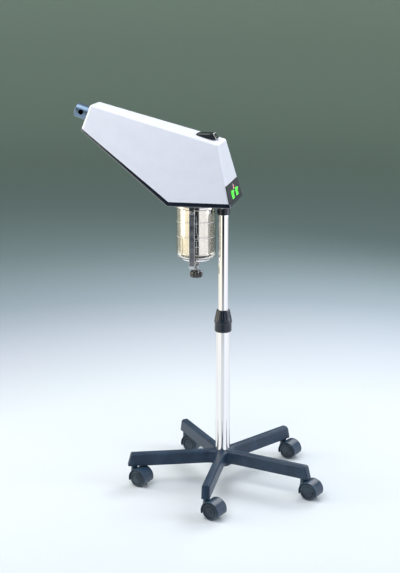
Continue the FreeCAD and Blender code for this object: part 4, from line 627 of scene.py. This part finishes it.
def knurled(t, h):
    """Straight knurl of 28 teeth, 0.25 mm deep, on the rim of a screw's head."""
    return 1 - 0.04 * (0.5 + 0.5 * np.cos(28 * t)) * ((h > 66.4) & (h < 68))


screw = eased([(0, 58.4), (2.95, 58.4), (2.95, 66.02), (6, 66.02), (6, 68.2), (5, 68.98),
               (1.4, 68.98), (1.2, 68.2), (0, 68.2)], [0, 0.2, 0, 0.3, 0.6, 0.4, 0.2, 0.2, 0])
shown(welded("stirrup_screws_knurled", [turned(screw, (-80, 0, 820), (0, way, 0), 112, knurled)
                                        for way in (1, -1)]), "head", "polished_steel",
      drawn_steel, "stirrup_screws")


def threaded(t, h):
    """The spindle's thread: a helical ridge of 1.6 mm pitch, 0.5 mm deep."""
    return 1 - 0.125 * np.abs(2 * ((h / 1.6 - t / (2 * np.pi)) % 1) - 1)


spindle = np.stack([np.full(180, 4.0), np.linspace(621.2, 665.8, 180)], 1)
spindle = np.concatenate([[[0, 621.2]], spindle, [[0, 665.8]]])
shown(welded("clamp_spindle", [turned(spindle, JAR, steps=36, swell=threaded)], 60),
      "clamp_knob", "steel", drawn_steel, "clamp_screw")

phenolic = moulded("black_phenolic", "#050a12", "#101823", 0.9, 0.16, depth=0.05, coat=0.8,
                   scuffs=0.3, index=1.5)
t = np.linspace(0, 2 * np.pi, 193)
grip = (18.5 - 2.5 * np.clip(0.5 + 0.5 * np.cos(8 * t), 0, 1) ** 2.2)[:, None] * np.stack(
    [np.cos(t), np.sin(t)], 1)
knob = stacked(grip, [(617, 4), (617.2, 2.4), (617.9, 1), (619.2, 0.2), (621, 0), (631.5, 0),
                      (633.2, 0.3), (634.4, 1.2), (635, 2.4), (635.2, 4.5)], JAR, (1, 0, 0),
               (0, 1, 0), (0, 0, 1))
knob_hub = eased([(0, 633), (10, 633), (9, 635.4), (7.2, 638), (4.05, 638), (4.05, 636), (0, 636)],
                 [0, 0, 1.5, 0.8, 0.3, 0, 0])
shown(welded("clamp_knob_moulding", [knob, turned(knob_hub, JAR, steps=64)], 50), "clamp_knob",
      "knob_black", phenolic, "clamp_knob")


# ---- Steam duct, ozone lamp and nozzle --------------------------------------------------
# The duct is bent stainless tube with a sleeve for the lamp, whose quartz bulb hangs from a
# ceramic holder. The nozzle is turned aluminium, satin anodised blue-grey, in a black seat;
# it turns by hand, and steam leaves by the hole in its side.

recoat(drawn_steel, "steam_duct")
frosted_quartz, tree, shader = finish("frosted_quartz_bulb", Roughness=0.35, IOR=1.46,
                                      Transmission_Weight=0.3)
frost = add(tree, "TexNoise", {"Vector": add(tree, "TexCoord").outputs["Object"],
                               "Scale": 1 / (2.0 * MM), "Detail": 3.0})
tree.links.new(add(tree, "MixRGB", {"Fac": frost.outputs["Fac"], "Color1": linear("#f4f1ea"),
                                    "Color2": linear("#dcd9e8")}).outputs[0],
               shader.inputs["Base Color"])
recoat(frosted_quartz, "ozone_lamp")
recoat(glossy_acetal, "nozzle_seat")

anodised, tree, shader = finish("satin_anodised_aluminium", Metallic=0.85)
# Turned on a lathe before anodising: fine rings across the nozzle's own axis, 0.4 mm apart.
rings = add(tree, "TexNoise", {"Vector": add(tree, "Mapping", {
    "Vector": add(tree, "TexCoord").outputs["Object"], "Rotation": (0.0, math.radians(18.7), 0.0),
    "Scale": (2500.0, 30.0, 30.0)}).outputs[0], "Scale": 1.0, "Detail": 2.0})
tree.links.new(add(tree, "MixRGB", {"Fac": rings.outputs["Fac"], "Color1": linear("#5b6f84"),
                                    "Color2": linear("#7a90a6")}).outputs[0],
               shader.inputs["Base Color"])
tree.links.new(add(tree, "MapRange", {"Value": rings.outputs["Fac"], "To Min": 0.24,
                                      "To Max": 0.42}).outputs[0], shader.inputs["Roughness"])
tree.links.new(add(tree, "Bump", {"Height": rings.outputs["Fac"], "Strength": 0.2,
                                  "Distance": 0.02 * MM}).outputs[0], shader.inputs["Normal"])
recoat(anodised, "nozzle_head")


# ---- Cover ------------------------------------------------------------------------------
# One ABS moulding, bright white with a faint cool cast, in a mould finished to a silk sheen.
# Its edges are softly rounded, and four zinc-plated screws hold it from below.

silk_abs = moulded("silk_white_abs", "#e9eaf3", "#dfe0ec", 0.9, 0.34, depth=0.1, coat=0.12,
                   scuffs=0.5)
recoat(silk_abs, "cover")
recoat(bright_pin, "cover_screws")


# ---- Filler and its cap -----------------------------------------------------------------
# A black funnel runs from the top of the cover down to the lid. Its cap is an eight-sided
# block of polished phenolic, cut parallel to the sloping top, with crisp bright arrises.

recoat(glossy_acetal, "filler_neck")
CAP = np.array([-51.5, 0, 0])
HEAD_FALL = (1120 - 1017) / 376
CAP_TOP, CAP_HIGH, CAP_REST = 1041, 31, 0.3


def slope(x):
    """Height of the cover's sloping top above a point x."""
    return 1017 + HEAD_FALL * (-5 - x)


def octagon(half_long, half_wide, ease):
    """Eight-sided outline with its corners at 0.68 of each half, eased."""
    a, b = 0.68 * half_long, 0.68 * half_wide
    return eased([(half_long, -b), (half_long, b), (a, half_wide), (-a, half_wide),
                  (-half_long, b), (-half_long, -b), (-a, -half_wide), (a, -half_wide)],
                 ease, True, 3)


# Rings of the block: how far down its sides each lies, from 0 at the top to 1 at z 1010,
# stopped everywhere CAP_REST above the slope, and how much its outline is drawn in.
top_edge, foot_edge = octagon(24, 24, 1.2), octagon(44, 38, 2.2)
slant = (foot_edge - top_edge)[:, 0]
share = (CAP_TOP + CAP_REST - slope(CAP[0] + top_edge[:, 0])) / (CAP_HIGH + HEAD_FALL * slant)
share = np.clip(share, 0.02, 1)[None, :, None]
down = np.array([0, 0, 0.012, 0.035, 0.07, 0.2, 0.4, 0.6, 0.8, 0.97, 1.0])[:, None, None]
drawn_in = np.array([3.0, 1.3, 0.6, 0.2, 0, 0, 0, 0, 0, 0, 0])[:, None, None]
below = np.array([0, 0, 0.15, 0.5, 1.0, 0, 0, 0, 0, 0, 0])[:, None, None]
depth = np.maximum(down * share, np.minimum(below / CAP_HIGH, 0.7 * share))
rim_line = top_edge[None] * (1 - depth) + foot_edge[None] * depth
rim_line = rim_line * (1 - drawn_in / 24)
block_cap = CAP + np.concatenate([rim_line, CAP_TOP - CAP_HIGH * depth], 2)
plug = eased([(0, 994), (14.5, 994), (15.5, 995), (15.5, 1030), (0, 1030)], [0, 0.6, 0.6, 0, 0])
shown(welded("filler_cap_moulding", [closed_ends(block_cap), turned(plug, CAP, steps=64)], 18),
      "filler_cap", "knob_black", phenolic, "filler_cap")


# ---- Switch panel -----------------------------------------------------------------------
# A matt black panel let into the back. Two rockers in green polycarbonate, lit from inside,
# stand in thin raised frames, with a red pilot lens in a chromed ring above them.

matt_panel = moulded("matt_black_panel", "#070d15", "#121c28", 0.6, 0.55, depth=0.5, scuffs=0.3)
recoat(matt_panel, "switch_panel")
BACK = np.array([36.0, 0, 855])
PANEL_LEAN = math.atan2(41, 162)
back_up = np.array([-math.sin(PANEL_LEAN), 0, math.cos(PANEL_LEAN)])
back_out = np.array([math.cos(PANEL_LEAN), 0, math.sin(PANEL_LEAN)])
sideways = np.array([0, 1.0, 0])
APART, WINDOW_HALF, WINDOW_UP = 32, 15.6, 17
pane = eased([(0.05, 0.2), (0.9, 0.75), (1.3, 0.75), (1.7, 0.2), (1.7, 0.01), (0.05, 0.01)],
             0.2, True, 2)
frames = []
for middle in (-APART, APART):
    left, right = middle - WINDOW_HALF, middle + WINDOW_HALF
    hole = eased([(left, 4.7), (right, 4.7), (right, 29.3), (left, 29.3)], 1.2, True, 4)
    run = np.gradient(hole[:-1], axis=0)
    square = np.stack([run[:, 1], -run[:, 0]], 1)
    square = square / np.linalg.norm(square, axis=1)[:, None]
    square = np.concatenate([square, square[:1]])
    ring = hole[:, None] + pane[None, :, :1] * square[:, None]
    frames.append(BACK + ring[..., :1] * sideways + ring[..., 1:] * back_up
                  + pane[None, :, 1:] * back_out)
shown(welded("rocker_frames", frames), "head", "panel_black", glossy_acetal)

lit_green, tree, shader = finish("lit_green_polycarbonate", IOR=1.58, Transmission_Weight=0.15,
                                 Coat_Weight=0.5, Roughness=0.22, Emission_Strength=0.9)
# The lamp behind shows as brighter patches some 9 mm across, scattered over the lens.
glow = add(tree, "TexNoise", {"Vector": add(tree, "TexCoord").outputs["Object"],
                              "Scale": 1 / (9 * MM), "Detail": 1.0})
hue = add(tree, "MixRGB", {"Fac": add(tree, "MapRange", {
    "Value": glow.outputs["Fac"], "From Min": 0.35, "From Max": 0.65}).outputs[0],
    "Color1": linear("#22c21c"), "Color2": linear("#6dff4e")})
tree.links.new(hue.outputs[0], shader.inputs["Base Color"])
tree.links.new(hue.outputs[0], shader.inputs["Emission Color"])
key = [(-10.8, 3.4)] + [(b, 1.4 + 2 * (b / 10.8) ** 2) for b in np.linspace(-9, 9, 13)] + [
    (10.8, 3.4), (10.8, -2), (4.3, -11), (-4.3, -11), (-10.8, -2)]
key = eased(key, [0.8] + [0.1] * 13 + [0.8, 0.5, 0.5, 0.5, 0.5], True, 3)
# Switched on: each key is turned 7 degrees about its pin, so that the upper half stands out.
tilt = math.radians(7)
PIN = [0, -7]
lean = np.array([[math.cos(tilt), math.sin(tilt)], [-math.sin(tilt), math.cos(tilt)]])
key = (key - PIN) @ lean + PIN
for side, middle in (("left", -APART), ("right", APART)):
    rocker = stacked(key, [(-14.9, 0.7), (-14.6, 0.2), (-14.2, 0), (14.2, 0), (14.6, 0.2),
                           (14.9, 0.7)], BACK + middle * sideways + WINDOW_UP * back_up, back_up,
                     back_out, sideways)
    shown(welded(f"rocker_{side}_lens", [rocker]), f"switch_{side}", "rocker_green", lit_green,
          f"switch_{side}")

PILOT = BACK + 34 * back_up
red_lens, tree, shader = finish("red_acrylic_lens", IOR=1.49, Transmission_Weight=0.2,
                                Roughness=0.12, Emission_Strength=0.5, Coat_Weight=0.5)
# Fresnel ribs inside the lens show as rings 2 mm apart round its middle.
mesh_up = add(tree, "Mapping", {"Vector": add(tree, "TexCoord").outputs["Object"],
                                "Location": tuple((-PILOT * MM).tolist())})
rib = add(tree, "TexWave", {"Vector": mesh_up.outputs[0], "Scale": 1 / (6.3 * MM),
                            "Distortion": 0.0}, wave_type="RINGS", rings_direction="SPHERICAL")
shade = add(tree, "MixRGB", {"Fac": rib.outputs["Fac"], "Color1": linear("#b3121c"),
                             "Color2": linear("#ff3b3b")})
tree.links.new(shade.outputs[0], shader.inputs["Base Color"])
tree.links.new(shade.outputs[0], shader.inputs["Emission Color"])
dome = [(0, -14), (5, -14), (5, 0.2)] + [(5 * math.cos(a), 0.2 + 2.7 * math.sin(a))
                                        for a in np.linspace(0.1, math.pi / 2, 10)]
shown(welded("pilot_lens", [turned(eased(dome, 0.3), PILOT, back_out, 48)]), "head", "lamp_red",
      red_lens, "pilot_lamp")
bezel = eased([(5.02, 0.02), (6.2, 0.02), (6.2, 0.9), (5.7, 1.5), (5.02, 1.2)],
              [0, 0.2, 0.4, 0.3, 0.2], True, 3)
shown(welded("pilot_bezel", [turned(bezel, PILOT, back_out, 64)]), "head", "chrome", chrome_plate)
recoat(matt_panel, "switch_cases")


# ---- Inside the head --------------------------------------------------------------------
# Zinc-plated chassis, the lamp's choke, the control board, the loom and the mains inlet.
# They are seen only through the openings, but each still carries its own finish.

zinc, tree, shader = finish("passivated_zinc_sheet", Metallic=1.0)
# Bright zinc with crystal spangle some 8 mm across and a faint yellow passivation.
spangle = add(tree, "TexVoronoi", {"Vector": add(tree, "TexCoord").outputs["Object"],
                                   "Scale": 1 / (8 * MM)})
tree.links.new(add(tree, "MixRGB", {"Fac": add(tree, "MapRange", {
    "Value": spangle.outputs["Distance"], "To Max": 0.8}).outputs[0],
    "Color1": linear("#c9c7b4"), "Color2": linear("#a7aaa8")}).outputs[0],
    shader.inputs["Base Color"])
tree.links.new(add(tree, "MapRange", {"Value": spangle.outputs["Distance"], "To Min": 0.28,
                                      "To Max": 0.45}).outputs[0], shader.inputs["Roughness"])
recoat(zinc, "chassis")

stack, tree, shader = finish("varnished_iron_laminations", IOR=1.5, Metallic=0.4)
# Half-millimetre sheets under brown varnish, drawn as bands 4 mm apart so that they show.
sheets_of_iron = add(tree, "TexWave", {"Vector": add(tree, "TexCoord").outputs["Object"],
                                       "Scale": 1 / (12.6 * MM), "Distortion": 0.4},
                     bands_direction="Y")
tree.links.new(add(tree, "MixRGB", {"Fac": sheets_of_iron.outputs["Fac"],
                                    "Color1": linear("#4a3a2c"), "Color2": linear("#7a6a58")}
                   ).outputs[0], shader.inputs["Base Color"])
tree.links.new(add(tree, "MapRange", {"Value": sheets_of_iron.outputs["Fac"], "To Min": 0.3,
                                      "To Max": 0.5}).outputs[0], shader.inputs["Roughness"])
recoat(stack, "lamp_ballast")

epoxy_board, tree, shader = finish("green_epoxy_board", IOR=1.55, Roughness=0.35)
# Solder resist over copper: lighter green cells, 6 by 3 mm, with darker gaps between them.
tracks = add(tree, "TexBrick", {"Vector": add(tree, "TexCoord").outputs["Object"],
                                "Scale": 1 / (12 * MM), "Color1": linear("#1f6a3c"),
                                "Color2": linear("#2a7d49"), "Mortar": linear("#124526"),
                                "Mortar Size": 0.06})
tree.links.new(tracks.outputs["Color"], shader.inputs["Base Color"])
recoat(epoxy_board, "control_board")
recoat(moulded("grey_pvc_loom", "#5d6268", "#868b90", 1.0, 0.5, depth=0.3), "wiring_loom")
recoat(moulded("black_thermoset_inlet", "#15181c", "#34383c", 0.8, 0.4, depth=0.3), "mains_inlet")
